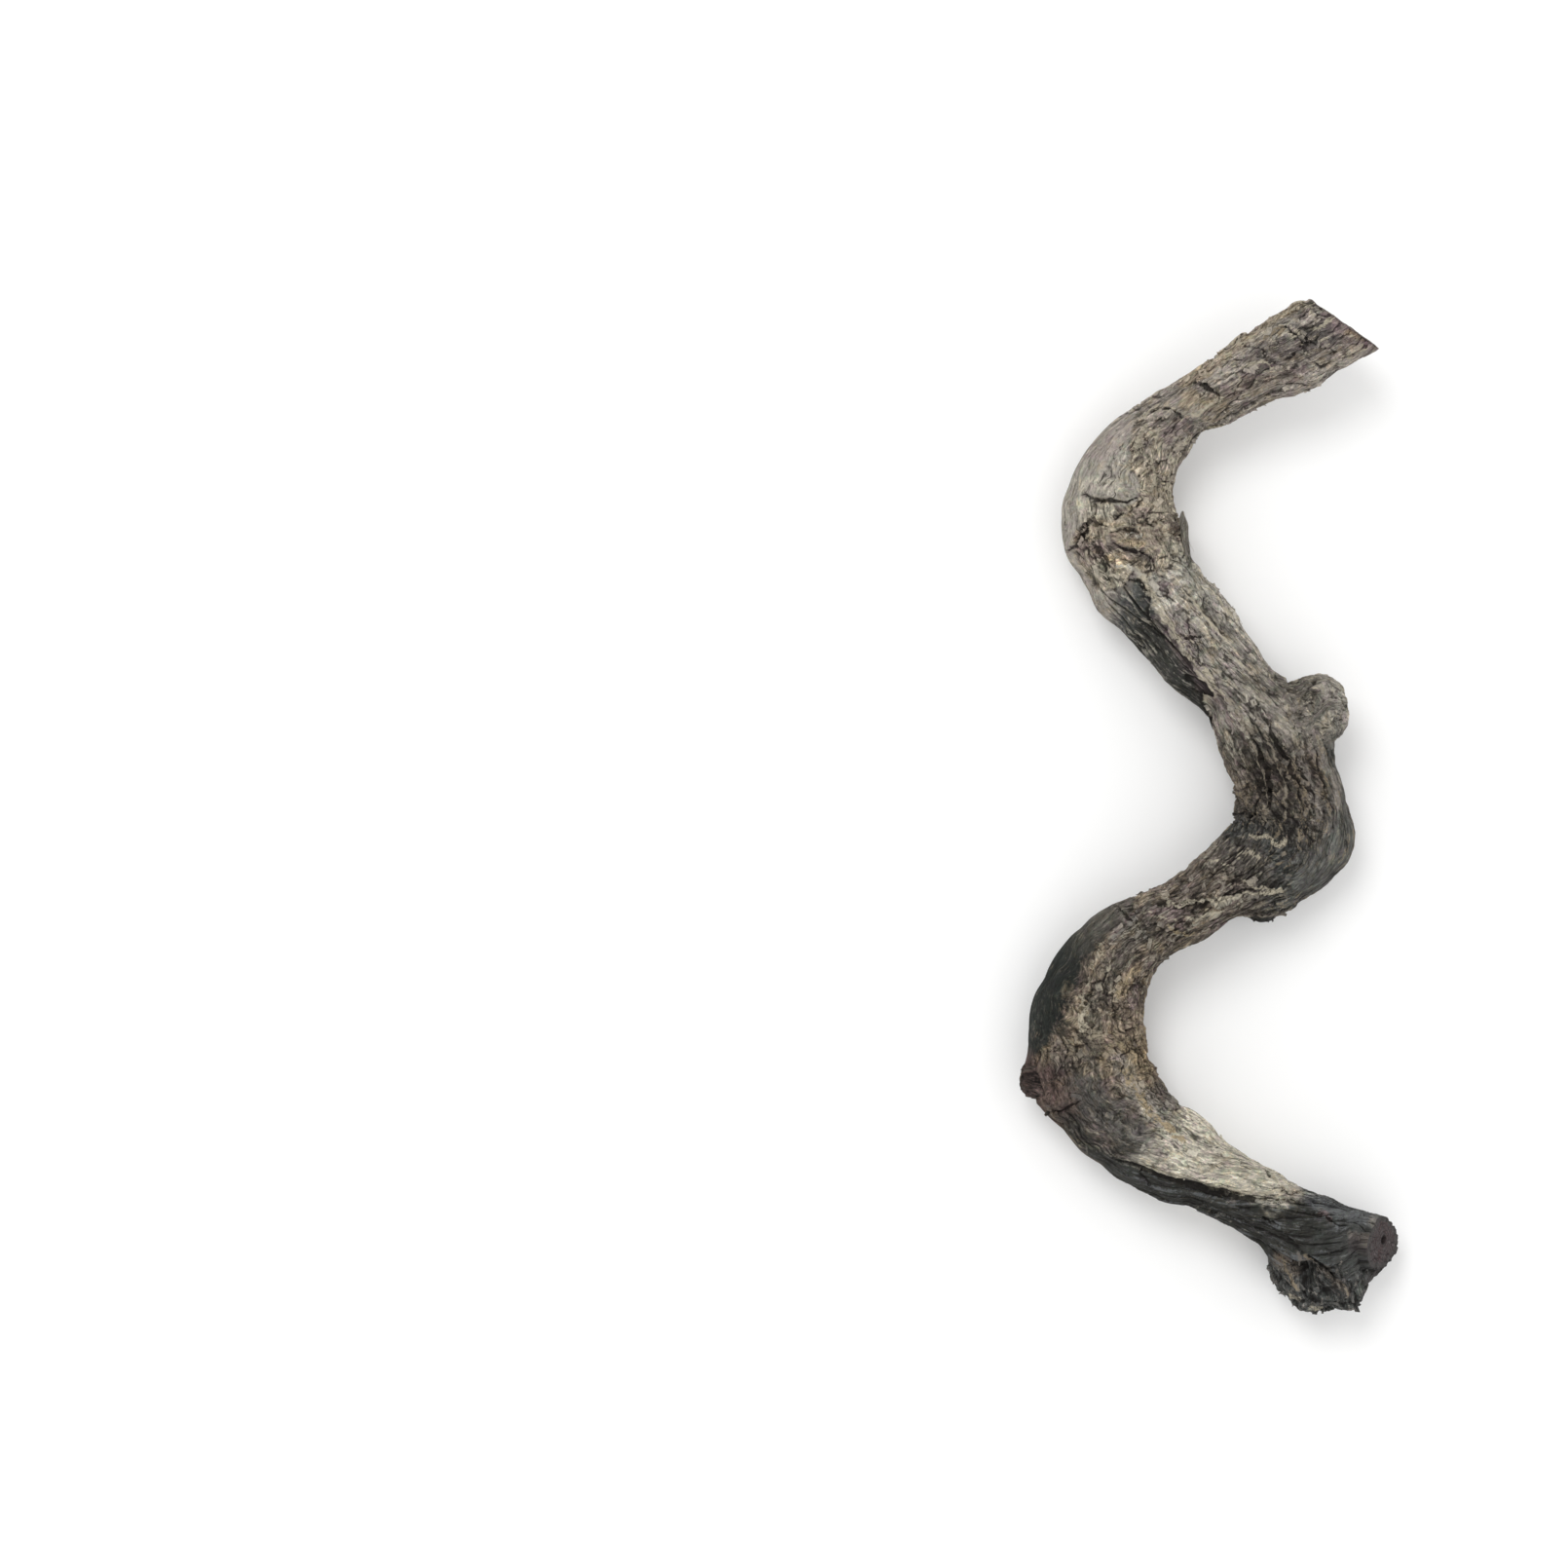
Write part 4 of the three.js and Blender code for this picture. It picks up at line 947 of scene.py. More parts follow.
# The smaller limbs, as stations from the stem outwards: place in plan, height, width and depth.
# Then their relief, their colours by how far along they are, 0 to 1, and the colour of the crests.
limbs = {
    "side_stub": {
        "piece": "stub_skin", "node": "side_stub", "slot": "weathered_wood",
        "stations": [
            (15.0, 22.0, 19.5, 23.0, 24.0), (24.0, 25.0, 20.0, 21.0, 23.0), (30.5, 27.1, 20.0, 18.8, 20.5),
            (35.0, 28.2, 19.8, 17.6, 18.0), (37.8, 28.8, 19.5, 14.8, 14.5), (39.4, 29.1, 19.5, 10.0, 9.5),
        ],
        "columns": 200, "calm": 0.3, "swirl": 2.2,
        "lump": 1.0, "plates": 0.6, "fibres": 0.3, "crumbs": 0.8, "strands": 0.1,
        "tones": [(0, "neck"), (0.45, "dullGrey"), (0.62, "grey"), (0.78, "ash"), (0.92, "barkTan")],
        "dust": "cream",
    },
    "broken_fork": {
        "piece": "broken_end", "node": "broken_fork", "slot": "charcoal_wood",
        "stations": [
            (28.5, -122.0, 17.0, 14.0, 16.0), (29.6, -129.0, 16.0, 21.0, 23.0),
            (31.4, -136.0, 14.8, 25.4, 24.5), (34.2, -141.0, 13.4, 25.6, 22.5),
            (36.2, -144.6, 12.2, 21.5, 18.0), (37.2, -146.7, 11.8, 14.0, 11.0),
        ],
        "columns": 240, "lump": 2.2, "plates": 1.1, "fibres": 0.9, "crumbs": 1.2, "strands": 0.3,
        "tones": [(0, "soot"), (0.5, "coal"), (0.8, "coal"), (1.0, "soot")], "dust": "barkGrey",
    },
    "knob": {
        "piece": "burl_knob", "node": "main_stem", "slot": "charcoal_wood",
        "stations": [
            (-40.0, -83.4, 15.0, 15.0, 16.0), (-45.0, -82.2, 15.2, 12.2, 12.8),
            (-48.0, -81.6, 15.4, 10.6, 11.0), (-51.0, -81.0, 15.6, 10.2, 10.2),
            (-53.4, -80.6, 15.6, 8.2, 8.2), (-55.0, -80.4, 15.6, 4.8, 4.8),
        ],
        "columns": 130, "lump": 2.0, "plates": 1.0, "fibres": 0.4, "crumbs": 1.4,
        "tones": [(0, "mauveCoal"), (0.6, "mauveCoal"), (0.8, "redBrown"), (1, "barkTan")], "dust": "neck",
    },
    "underLump": {
        "piece": "under_lump", "node": "main_stem", "slot": "charcoal_wood",
        "stations": [
            (15.0, -22.0, 12.0, 14.0, 15.0), (14.8, -26.6, 11.4, 13.8, 14.4), (14.6, -30.6, 10.8, 13.0, 13.2),
            (14.5, -33.4, 10.6, 10.4, 10.0), (14.4, -34.8, 10.6, 6.6, 6.0),
        ],
        "columns": 120, "lump": 0.6, "plates": 0.6, "fibres": 0.4, "crumbs": 0.9,
        "tones": [(0, "soot"), (1, "soot")], "dust": "neck",
    },
    "sliver": {
        "piece": "bark_sliver", "node": "main_stem", "slot": "weathered_wood",
        "stations": [
            (-4.6, 57.0, 18.0, 4.4, 9.0), (-5.4, 63.0, 19.6, 4.6, 9.0), (-6.4, 70.0, 21.0, 4.6, 8.0),
            (-7.0, 76.0, 21.8, 4.2, 6.0), (-7.7, 80.4, 22.2, 3.2, 4.0), (-8.4, 83.4, 22.2, 1.8, 2.0),
            (-8.4, 85.2, 22.2, 0.6, 0.8),
        ],
        "columns": 110, "lump": 0.4, "plates": 0.35, "fibres": 0.9, "crumbs": 0.6,
        "tones": [(0, "ash"), (0.6, "grey"), (1, "ash")], "dust": "cream",
    },
    "thorn": {
        "piece": "dead_twig", "node": "main_stem", "slot": "weathered_wood",
        "stations": [
            (-41.0, -84.6, 17.0, 5.0, 5.0), (-44.6, -88.0, 17.4, 3.6, 3.6), (-46.8, -90.0, 17.6, 2.0, 2.0),
            (-48.2, -91.4, 17.8, 0.9, 0.9),
        ],
        "columns": 60, "lump": 0.3, "plates": 0.1, "fibres": 0.5, "crumbs": 0.4,
        "tones": [(0, "umber"), (1, "barkTan")], "dust": "bone",
    },
}
# What a limb has where nothing else is said of it, and what all of them share.
limbUsual = {"calm": 1.0, "swirl": 0.8, "strands": 0.0}
limbLook = {
    "lookAhead": 3.0,
    "rowSpacing": 0.36,
    "capRings": 19,        # rows that close the far end
    "capBulge": 0.24,      # how far the end stands out, for each millimetre of its radius
    "grainRadius": 9.0,
    "thin": 4.5,           # a limb with a smaller radius has less relief
    "large": 150,          # a limb with more columns takes the stem's marks and swells towards it
    "join": (8.0, 1.6),    # how far from the stem it swells, and how much
}
for limb in limbs.values():
    for key, value in limbUsual.items():
        limb.setdefault(key, value)
    limb["axis"] = makeAxis(limb["stations"], limbLook["lookAhead"])
# Where limbs grow out of the stem: how far from them it swells, and how much.
limbJoins = [("side_stub", 10.0, 2.6), ("broken_fork", 8.0, 2.0), ("knob", 7.0, 2.0), ("underLump", 6.0, 1.2),
             ("sliver", 4.0, 0.8)]
# The bark round some is stained, up to this distance.
limbStains = [("knob", "mauveCoal", 6.0), ("underLump", "soot", 2.0)]


# The stem's rows: level in the middle, and slanted near its ends so that the end rows lie in the cuts.
def slantedRows(axis, angle):
    upper = cutPlaces(axis, angle, upperCut, 0, stem["cutSearch"][0])
    lower = cutPlaces(axis, angle, lowerCut, axis["length"], axis["length"] - stem["cutSearch"][1])
    count = int((lower.mean() - upper.mean()) / stem["rowSpacing"])
    base = np.linspace(upper.mean(), lower.mean(), count)[:, None]
    along = base + (upper - upper.mean()) * np.clip(1 - (base - upper.mean()) / stem["slantFade"][0], 0, 1)
    return along + (lower - lower.mean()) * np.clip(1 - (lower.mean() - base) / stem["slantFade"][1], 0, 1)


# How far each point lies inside the bare wood, ragged as broken bark is.
def borderPlace(section, angle, grain, ragged, spot, above):
    shift = 0.5 * layered("broken", grain / 7 + 3, 3) + 0.25 * np.sin(3 * angle)
    inside = insideBare(section, angle, shift) + (1.2 + 0.6 * alongStem(section, "barkEdge")) * ragged
    for much, half, line in barkLaps:
        away, _ = toLine(spot[..., :2], line)
        inside = inside - much * above * ramp(1.4, 0.5, away / half + 0.35 * ragged)
    return inside


def stemGrid():
    axis = stemAxis
    lap = np.arange(stem["columns"]) * 2 * math.pi / stem["columns"]
    angle = lap + stem["topCrowding"] * np.cos(lap)
    along = slantedRows(axis, angle)
    angle = angle + 0 * along
    section = sectionAt(axis, along)
    table = np.array(barkStyle, float)
    names = ("plates", "fibres", "crumbs", "strands", "bareStrands", "turn")
    style = {name: np.interp(section["station"], table[:, 0], table[:, k]) for k, name in enumerate(names, 1)}
    grain = grainPlace(angle, along, np.radians(style["turn"]), stem["grainRadius"])
    ragged = layered("ragged", grain / (4.5, 4.5, 7.0), 5, 0.65)
    soft = alongStem(section, "barkEdge")
    spot, _ = ovalPoints(section, angle, 1.0)
    above = ramp(-0.1, 0.3, np.sin(angle))
    inside = borderPlace(section, angle, grain, ragged, spot, above)
    edge = 0.15 + 0.5 * soft
    bark = ramp(edge, -edge, inside)
    barkShare = ramp(1.2 * soft, -1.2 * soft, inside)
    points, outward = ovalPoints(section, angle, bark)
    # what changes the outline: the bark's step and lip, dents, lumps, marks and where limbs grow out
    step = section["step"] * alongStem(section, "barkStep")
    lip = 0.1 * np.exp(-((inside + 0.9) / 0.8) ** 2) * np.clip(step, 0, 1)
    relief = -(1 - bark) * step + lip
    relief = relief + 0.9 * layered("dent", grain / (13.0, 13.0, 17.0) + 9, 3)
    relief = relief + 0.7 * bark * layered("lump", grain / (5.5, 5.5, 9.0) + 3, 2)
    relief = relief + markRelief(points, above) + outlineRelief(points, outward)
    for name, reach, high in limbJoins:
        relief = relief + fillet(toLimb(points, limbs[name]["axis"]), reach, high)
    points = points + relief[..., None] * outward
    # the fine relief, and the saw cuts
    worn = wornAmount(spot, above)
    fine, plate, rim = barkRelief(grain, style)
    fine = bark * worn * fine + (1 - bark) * bareRelief(grain, style)
    for cut in (upperCut, lowerCut):
        fine = fine - rimWear(points, cut, angle, grain)
    points = points + fine[..., None] * gridNormals(points)
    for cut in (upperCut, lowerCut):
        points = points - np.maximum(beyondCut(points, cut), 0)[..., None] * cutNormal(cut)
    for row, cut in ((0, upperCut), (-1, lowerCut)):
        points[row] -= beyondCut(points[row], cut)[:, None] * cutNormal(cut)
    points = np.clip(points, boxLow, boxHigh)
    # colours
    stand = standing(fine + relief)
    tone, bare, dust = woodTones(section["station"], barkShare, grain, plate * worn, above)
    crest = paint(points, above, [tone, bare], dust)
    for name, colour, reach in limbStains:
        near = 0.85 * ramp(reach, 0.2, toLimb(points, limbs[name]["axis"]) + 1.2 * ragged)[..., None]
        for stained in (tone, bare, dust):
            stained += near * (palette[colour] - stained)
    ahead = np.cross(section["left"], section["up"])
    loose = bark * worn * style["plates"] * (0.25 + 0.75 * rim) * ramp(-0.3, 0.3, np.sin(angle))
    values = {"grain": swirled(grain, alongStem(section, "swirl")), "tone": tone, "bareTone": bare,
              "dust": dust, "bark": barkShare, "standing": stand, "crest": crest,
              "rough": worn * alongStem(section, "calm")}
    return points, values, section["station"][:, 0], {"way": ahead, "loose": loose}


# A node with its settings, and its inputs by name or number: sockets are linked, values are set.
def addNode(tree, kind, inputs=None, **settings):
    made = tree.nodes.new(kind)
    for name, value in settings.items():
        setattr(made, name, value)
    for name, value in (inputs or {}).items():
        if isinstance(value, bpy.types.NodeSocket):
            tree.links.new(value, made.inputs[name])
        else:
            made.inputs[name].default_value = value
    return made


# Math nodes in a row: the first value with the second, that with the third, and so on.
def combine(tree, operation, first, *others):
    for other in others:
        first = addNode(tree, "ShaderNodeMath", {0: first, 1: other}, operation=operation).outputs[0]
    return first


def times(tree, *values):
    return combine(tree, "MULTIPLY", *values)


def plus(tree, *values):
    return combine(tree, "ADD", *values)


def between(tree, value, low, high, toLow=0.0, toHigh=1.0):
    made = addNode(tree, "ShaderNodeMapRange", {"Value": value, "From Min": low, "From Max": high,
                                                "To Min": toLow, "To Max": toHigh})
    return made.outputs["Result"]


# A noise's value, which lies mostly from 0.3 to 0.7, as a small plus or minus.
def swing(tree, value, much, low=0.3, high=0.7):
    return between(tree, value, low, high, -much, much)


def vectorMath(tree, operation, first, second):
    return addNode(tree, "ShaderNodeVectorMath", {0: first, 1: second}, operation=operation).outputs[0]


def scaled(tree, vector, share):
    return addNode(tree, "ShaderNodeVectorMath", {0: vector, "Scale": share}, operation="SCALE").outputs[0]


def mixColours(tree, share, first, second, blend="MIX"):
    made = addNode(tree, "ShaderNodeMix", {0: share, 6: first, 7: second}, data_type="RGBA", blend_type=blend)
    return made.outputs[2]


def noiseAt(tree, place, scale, detail, roughness=0.5, wander=0.0):
    return addNode(tree, "ShaderNodeTexNoise", {"Vector": place, "Scale": scale, "Detail": detail,
                                                "Roughness": roughness, "Distortion": wander}).outputs


def attribute(tree, name):
    return addNode(tree, "ShaderNodeAttribute", attribute_name=name).outputs


def solidColour(rgb):
    return (*[float(channel) for channel in rgb], 1.0)


# A group from its inputs' names and values, None for a vector, and the names of its outputs.
def makeGroup(name, inputs, outputs):
    group = bpy.data.node_groups.new(name, "ShaderNodeTree")
    for label, value in inputs.items():
        kind = "NodeSocketVector" if value is None else "NodeSocketFloat"
        socket = group.interface.new_socket(label, in_out="INPUT", socket_type=kind)
        if value is not None:
            socket.default_value = value
    for label in outputs:
        group.interface.new_socket(label, in_out="OUTPUT", socket_type="NodeSocketFloat")
    return group, group.nodes.new("NodeGroupInput").outputs, group.nodes.new("NodeGroupOutput").inputs


def useGroup(tree, group, inputs):
    return addNode(tree, "ShaderNodeGroup", inputs, node_tree=group).outputs


# A group's place in a pattern, one cell of which is so many millimetres across and lengthwise.
def patternPlace(group, given):
    across = given["Across"]
    cell = addNode(group, "ShaderNodeCombineXYZ", {0: across, 1: across, 2: given["Lengthwise"]})
    return vectorMath(group, "DIVIDE", given["Place"], cell.outputs[0])


# Streaks that run with the grain: a coarse and a fine one.
def makeStreakGroup():
    inputs = {"Place": None, "Across": 1.0, "Lengthwise": 12.0, "Wander": 0.6}
    group, given, made = makeGroup("grainStreaks", inputs, ["Broad", "Fine"])
    place = patternPlace(group, given)
    for name, scale, roughness in (("Broad", 1.0, 0.6), ("Fine", 3.7, 0.65)):
        streak = noiseAt(group, place, scale, 4.0, roughness, given["Wander"])["Fac"]
        group.links.new(between(group, streak, 0.28, 0.72), made[name])
    return group


# Little scales of bark: each has its own height and tint, and a line of painted shade runs round some of
# them.
def makeScaleGroup():
    inputs = {"Place": None, "Across": 1.0, "Lengthwise": 2.0}
    group, given, made = makeGroup("barkScales", inputs, ["Height", "Tint", "GapShade"])
    place = patternPlace(group, given)
    drift = noiseAt(group, place, 1.3, 3.0, 0.6)
    moved = vectorMath(group, "ADD", place, scaled(group, drift["Color"], 1.1))
    inputs = {"Vector": moved, "Scale": 1.0, "Randomness": 1.0}
    cell = addNode(group, "ShaderNodeTexVoronoi", inputs)
    rim = addNode(group, "ShaderNodeTexVoronoi", inputs, feature="DISTANCE_TO_EDGE")
    chance = addNode(group, "ShaderNodeSeparateColor", {0: cell.outputs["Color"]}).outputs
    group.links.new(chance[0], made["Height"])
    group.links.new(chance[1], made["Tint"])
    # the gap line is painted shade where neighbouring scales meet
    line = between(group, rim.outputs["Distance"], 0.09, 0.0)
    group.links.new(times(group, line, between(group, drift["Fac"], 0.42, 0.6)), made["GapShade"])
    return group


# Thin dark fissures, in places.
def makeFissureGroup():
    inputs = {"Place": None, "Across": 1.0, "Lengthwise": 2.0, "Width": 0.02}
    group, given, made = makeGroup("fissures", inputs, ["Line"])
    place = patternPlace(group, given)
    wave = noiseAt(group, place, 1.0, 5.0, 0.55, 0.7)["Fac"]
    off = combine(group, "ABSOLUTE", combine(group, "SUBTRACT", wave, 0.5), 0.0)
    line = between(group, combine(group, "DIVIDE", off, given["Width"]), 1.0, 0.3)
    patch = noiseAt(group, place, 0.7, 2.0)["Fac"]
    group.links.new(times(group, line, between(group, patch, 0.48, 0.56)), made["Line"])
    return group


# Masks for worn crests, for painted shade in the crevices, and for dark pits.
def makeWearAndShadeGroup():
    inputs = {"Place": None, "Standing": 0.5, "Worn": 0.0, "Scale": 0.5, "Spread": 0.3}
    group, given, made = makeGroup("wearAndCreviceShade", inputs, ["Crest", "CreviceShade", "Pit"])
    patchy = noiseAt(group, given["Place"], 0.3, 5.0, 0.7)["Fac"]
    grit = noiseAt(group, given["Place"], 1.7, 4.0, 0.75)["Fac"]
    pit = noiseAt(group, given["Place"], 1.15, 2.0, 0.6)["Fac"]
    signal = plus(group, given["Worn"], given["Spread"], swing(group, given["Standing"], 0.7, 0.0, 1.0),
                  swing(group, given["Scale"], 0.3, 0.0, 1.0), swing(group, patchy, 0.35),
                  swing(group, grit, 0.4))
    # the crevice mask is painted shade: it darkens wherever the surface lies below what is round it
    rough = plus(group, given["Standing"], swing(group, grit, 0.14))
    for name, value, low, high in (("Crest", signal, 0.56, 0.78), ("CreviceShade", rough, 0.36, 0.1),
                                   ("Pit", pit, 0.37, 0.29)):
        group.links.new(between(group, value, low, high), made[name])
    return group


groups = {"streaks": makeStreakGroup(), "scales": makeScaleGroup(), "fissures": makeFissureGroup(),
          "wearAndCreviceShade": makeWearAndShadeGroup()}

# How dark, rough and flaky each wood is: gain brightens it, grit is how speckled it is.
woodFinish = {
    "weatheredWood": {"worn": 0.05, "roughness": 0.9, "specular": 0.14, "grit": 1.4, "gain": 1.52,
                      "tint": 1.0},
    "charcoalWood": {"worn": -0.1, "roughness": 0.74, "specular": 0.26, "grit": 1.3, "gain": 1.28,
                     "tint": 0.5},
}
# The patterns on both woods, with sizes in millimetres.
woodPatterns = {
    "streak": ("streaks", {"Across": 1.2, "Lengthwise": 11.0, "Wander": 0.9}),
    "hair": ("streaks", {"Across": 0.5, "Lengthwise": 5.0, "Wander": 0.6}),
    "fibre": ("streaks", {"Across": 0.6, "Lengthwise": 17.0, "Wander": 0.4}),
    "broad": ("scales", {"Across": 2.2, "Lengthwise": 8.5}),
    "small": ("scales", {"Across": 0.6, "Lengthwise": 4.2}),
    "split": ("fissures", {"Across": 2.4, "Lengthwise": 13.0, "Width": 0.02}),
    "check": ("fissures", {"Across": 7.0, "Lengthwise": 2.4, "Width": 0.016}),
}
woodTints = {"warm": (1.08, 1.01, 0.92, 1), "cool": (1.0, 0.92, 0.99, 1), "green": (0.92, 1.0, 0.95, 1)}
# the colour of painted shade in crevices and gaps between scales, and of dark fissures and pits
shadeAndCrackColour = srgb(30, 26, 23)
pithColour = srgb(24, 20, 19)
bumpDepth = {"wood": 0.00045, "endGrain": 0.0003, "bits": 0.0002}   # metres


def newMaterial(name, roughness):
    material = bpy.data.materials.new(name)
    material.use_nodes = True
    shader = material.node_tree.nodes["Principled BSDF"]
    shader.inputs["Roughness"].default_value = roughness
    return material, material.node_tree, shader.inputs


def linkSurface(tree, shader, colour, height, strength, depth):
    tree.links.new(colour, shader["Base Color"])
    bump = addNode(tree, "ShaderNodeBump", {"Height": height, "Strength": strength, "Distance": depth})
    tree.links.new(bump.outputs["Normal"], shader["Normal"])


def makeWood(name):
    finish = woodFinish[name]
    material, tree, shader = newMaterial(name, finish["roughness"])
    grain, stand = attribute(tree, "grain")["Vector"], attribute(tree, "standing")["Fac"]
    dust = attribute(tree, "dust")["Color"]
    blotch = noiseAt(tree, grain, 0.34, 7.0, 0.7)["Fac"]
    grit = noiseAt(tree, vectorMath(tree, "MULTIPLY", grain, (1.0, 1.0, 0.42)), 1.4, 6.0, 0.8)["Fac"]
    hue = noiseAt(tree, grain, 0.42, 5.0, 0.7)
    seen = {key: useGroup(tree, groups[kind], {"Place": grain, **sizes})
            for key, (kind, sizes) in woodPatterns.items()}
    streak, hair, fibre, broad, small = (seen[key] for key in ("streak", "hair", "fibre", "broad", "small"))
    # the bark's edge, broken up finely
    bark = plus(tree, attribute(tree, "bark")["Fac"], swing(tree, grit, 0.3), swing(tree, blotch, 0.4))
    bark = between(tree, bark, 0.2, 0.8)
    bare = combine(tree, "SUBTRACT", 1.0, bark)

    def byBark(onBare, onBark):
        return between(tree, bark, 0.0, 1.0, onBare, onBark)

    colour = mixColours(tree, bark, attribute(tree, "bareTone")["Color"], attribute(tree, "tone")["Color"])
    paleFibre = times(tree, between(tree, fibre["Broad"], 0.62, 0.8), between(tree, blotch, 0.4, 0.6))
    colour = mixColours(tree, times(tree, paleFibre, byBark(0.45, 0.4)), colour, dust)
    # mottled tints
    greenHue = addNode(tree, "ShaderNodeSeparateColor", {0: hue["Color"]}).outputs[1]
    for value, low, high, much, tint in ((hue["Fac"], 0.52, 0.62, finish["tint"], "warm"),
                                         (hue["Fac"], 0.47, 0.38, finish["tint"], "cool"),
                                         (greenHue, 0.53, 0.61, 1.0, "green")):
        share = between(tree, value, low, high, 0.0, much)
        colour = mixColours(tree, share, colour, woodTints[tint], "MULTIPLY")
    # light and dark
    flaky = times(tree, byBark(0.4, 1.0), between(tree, attribute(tree, "rough")["Fac"], 0.0, 1.0, 0.3, 1.0))
    streaky = plus(tree, times(tree, swing(tree, streak["Broad"], 0.5, 0.0, 1.0), byBark(0.34, 0.56)), 1.0)
    hairy = plus(tree, times(tree, swing(tree, hair["Fine"], 0.5, 0.0, 1.0), byBark(0.2, 0.5)), 1.0)
    # the scales' own tints, plus painted highlight on crests and painted shade in hollows from how each point
    # stands
    scales = plus(tree, swing(tree, broad["Tint"], 0.24, 0.0, 1.0),
                  swing(tree, small["Tint"], 0.12, 0.0, 1.0),
                  between(tree, small["Tint"], 0.78, 0.86, 0.0, 0.46),
                  between(tree, small["Tint"], 0.22, 0.14, 0.0, -0.4), swing(tree, stand, 0.3, 0.2, 0.8))
    scales = plus(tree, times(tree, scales, flaky), finish["gain"])
    depth = times(tree, between(tree, flaky, 0.3, 1.0, 0.75, 1.45), finish["grit"])
    gritty = plus(tree, times(tree, swing(tree, grit, 0.5, 0.32, 0.68), depth), 1.0)
    shade = times(tree, streaky, hairy, between(tree, blotch, 0.3, 0.7, 0.7, 1.3), scales, gritty)
    colour = scaled(tree, colour, shade)
    # crests in their worn colour, then painted shade in crevices and in the gaps round scales, and dark
    # fissures, pits and fibre lines
    wearAndShade = useGroup(tree, groups["wearAndCreviceShade"], {
        "Place": grain, "Standing": stand, "Worn": attribute(tree, "crest")["Fac"], "Scale": small["Tint"],
        "Spread": finish["worn"]})
    crest = times(tree, wearAndShade["Crest"], byBark(0.6, 0.95))
    colour = mixColours(tree, crest, colour, scaled(tree, dust, between(tree, grit, 0.3, 0.7, 0.75, 1.25)))
    # the crevice and gap entries are painted shade; fissures, pits and fibre lines are dark marks of the wood
    darkest = [(wearAndShade["CreviceShade"], 0.75), (broad["GapShade"], bark, 0.8), (seen["split"]["Line"], 0.85),
               (seen["check"]["Line"], flaky, 0.85), (small["GapShade"], flaky, 0.5),
               (wearAndShade["Pit"], flaky, 0.75), (between(tree, fibre["Fine"], 0.2, 0.1), bare, 0.5)]
    dark = combine(tree, "MAXIMUM", *[times(tree, *factors) for factors in darkest])
    colour = mixColours(tree, dark, colour, solidColour(shadeAndCrackColour))
    rough = byBark(finish["roughness"] - 0.14, finish["roughness"] + 0.04)
    rough = times(tree, rough, between(tree, streak["Fine"], 0.0, 1.0, 0.92, 1.08))
    tree.links.new(rough, shader["Roughness"])
    shader["Specular IOR Level"].default_value = finish["specular"]
    height = plus(tree, times(tree, broad["Height"], 1.2), times(tree, small["Height"], 0.7))
    height = plus(tree, times(tree, height, byBark(0.1, 1.0)), streak["Broad"],
                  times(tree, hair["Fine"], 0.6), times(tree, grit, byBark(1.0, 3.0)))
    height = combine(tree, "SUBTRACT", height, times(tree, dark, 1.2))
    linkSurface(tree, shader, colour, height, 0.9, bumpDepth["wood"])
    return material


# Sawn end grain: rings round the pith, pores and stains, and the bark's colour round the rim.
def makeEndGrain():
    material, tree, shader = newMaterial("sawnEndGrain", 0.9)
    place = attribute(tree, "grain")["Vector"]
    face = attribute(tree, "bareTone")["Color"]
    away = addNode(tree, "ShaderNodeVectorMath", {0: place}, operation="LENGTH").outputs["Value"]
    wobble = noiseAt(tree, place, 0.12, 3.0)["Fac"]
    pores = noiseAt(tree, place, 2.2, 5.0, 0.75)["Fac"]
    stain = noiseAt(tree, place, 0.3, 6.0, 0.7)["Fac"]
    ring = combine(tree, "SINE", times(tree, plus(tree, away, times(tree, wobble, 2.4)), 5.2), 0.0)
    ring = between(tree, ring, -1.0, 1.0)
    colour = mixColours(tree, ring, scaled(tree, face, 0.68), scaled(tree, face, 1.1))
    colour = mixColours(tree, between(tree, stain, 0.46, 0.58), colour, (0.94, 0.72, 0.71, 1), "MULTIPLY")
    colour = mixColours(tree, between(tree, stain, 0.44, 0.36), colour, scaled(tree, colour, 1.9))
    colour = mixColours(tree, between(tree, pores, 0.48, 0.58), colour, (0.3, 0.27, 0.27, 1), "MULTIPLY")
    colour = mixColours(tree, between(tree, away, 1.9, 0.9), colour, solidColour(pithColour))
    rim = plus(tree, attribute(tree, "bark")["Fac"], swing(tree, pores, 0.4))
    edge = scaled(tree, attribute(tree, "tone")["Color"], between(tree, pores, 0.3, 0.7, 0.9, 0.3))
    colour = mixColours(tree, between(tree, rim, 0.2, 0.7), colour, edge)
    height = plus(tree, ring, times(tree, pores, 2.5))
    linkSurface(tree, shader, colour, height, 0.6, bumpDepth["endGrain"])
    return material


# Loose bits: the colour of where they lie, broken by a fine pattern of their own.
def makeLooseBark():
    material, tree, shader = newMaterial("looseBark", 0.9)
    place = addNode(tree, "ShaderNodeTexCoord").outputs["Object"]
    patch = noiseAt(tree, place, 420.0, 4.0, 0.7)["Fac"]
    grit = noiseAt(tree, place, 1500.0, 3.0, 0.7)["Fac"]
    colour = mixColours(tree, between(tree, patch, 0.42, 0.62, 0.0, 0.4), attribute(tree, "tone")["Color"],
                        attribute(tree, "dust")["Color"])
    colour = scaled(tree, colour, between(tree, grit, 0.3, 0.7, 0.6, 1.25))
    tree.links.new(between(tree, patch, 0.3, 0.7, 0.82, 0.95), shader["Roughness"])
    linkSurface(tree, shader, colour, grit, 0.6, bumpDepth["bits"])
    return material


weatheredWood = makeWood("weatheredWood")
charcoalWood = makeWood("charcoalWood")
endGrain = makeEndGrain()
looseBark = makeLooseBark()
slotWood = {"weathered_wood": weatheredWood, "charcoal_wood": charcoalWood}


def finishPiece(piece, slot, *nodes):
    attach(piece, "root")
    if nodes:
        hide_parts(*nodes)


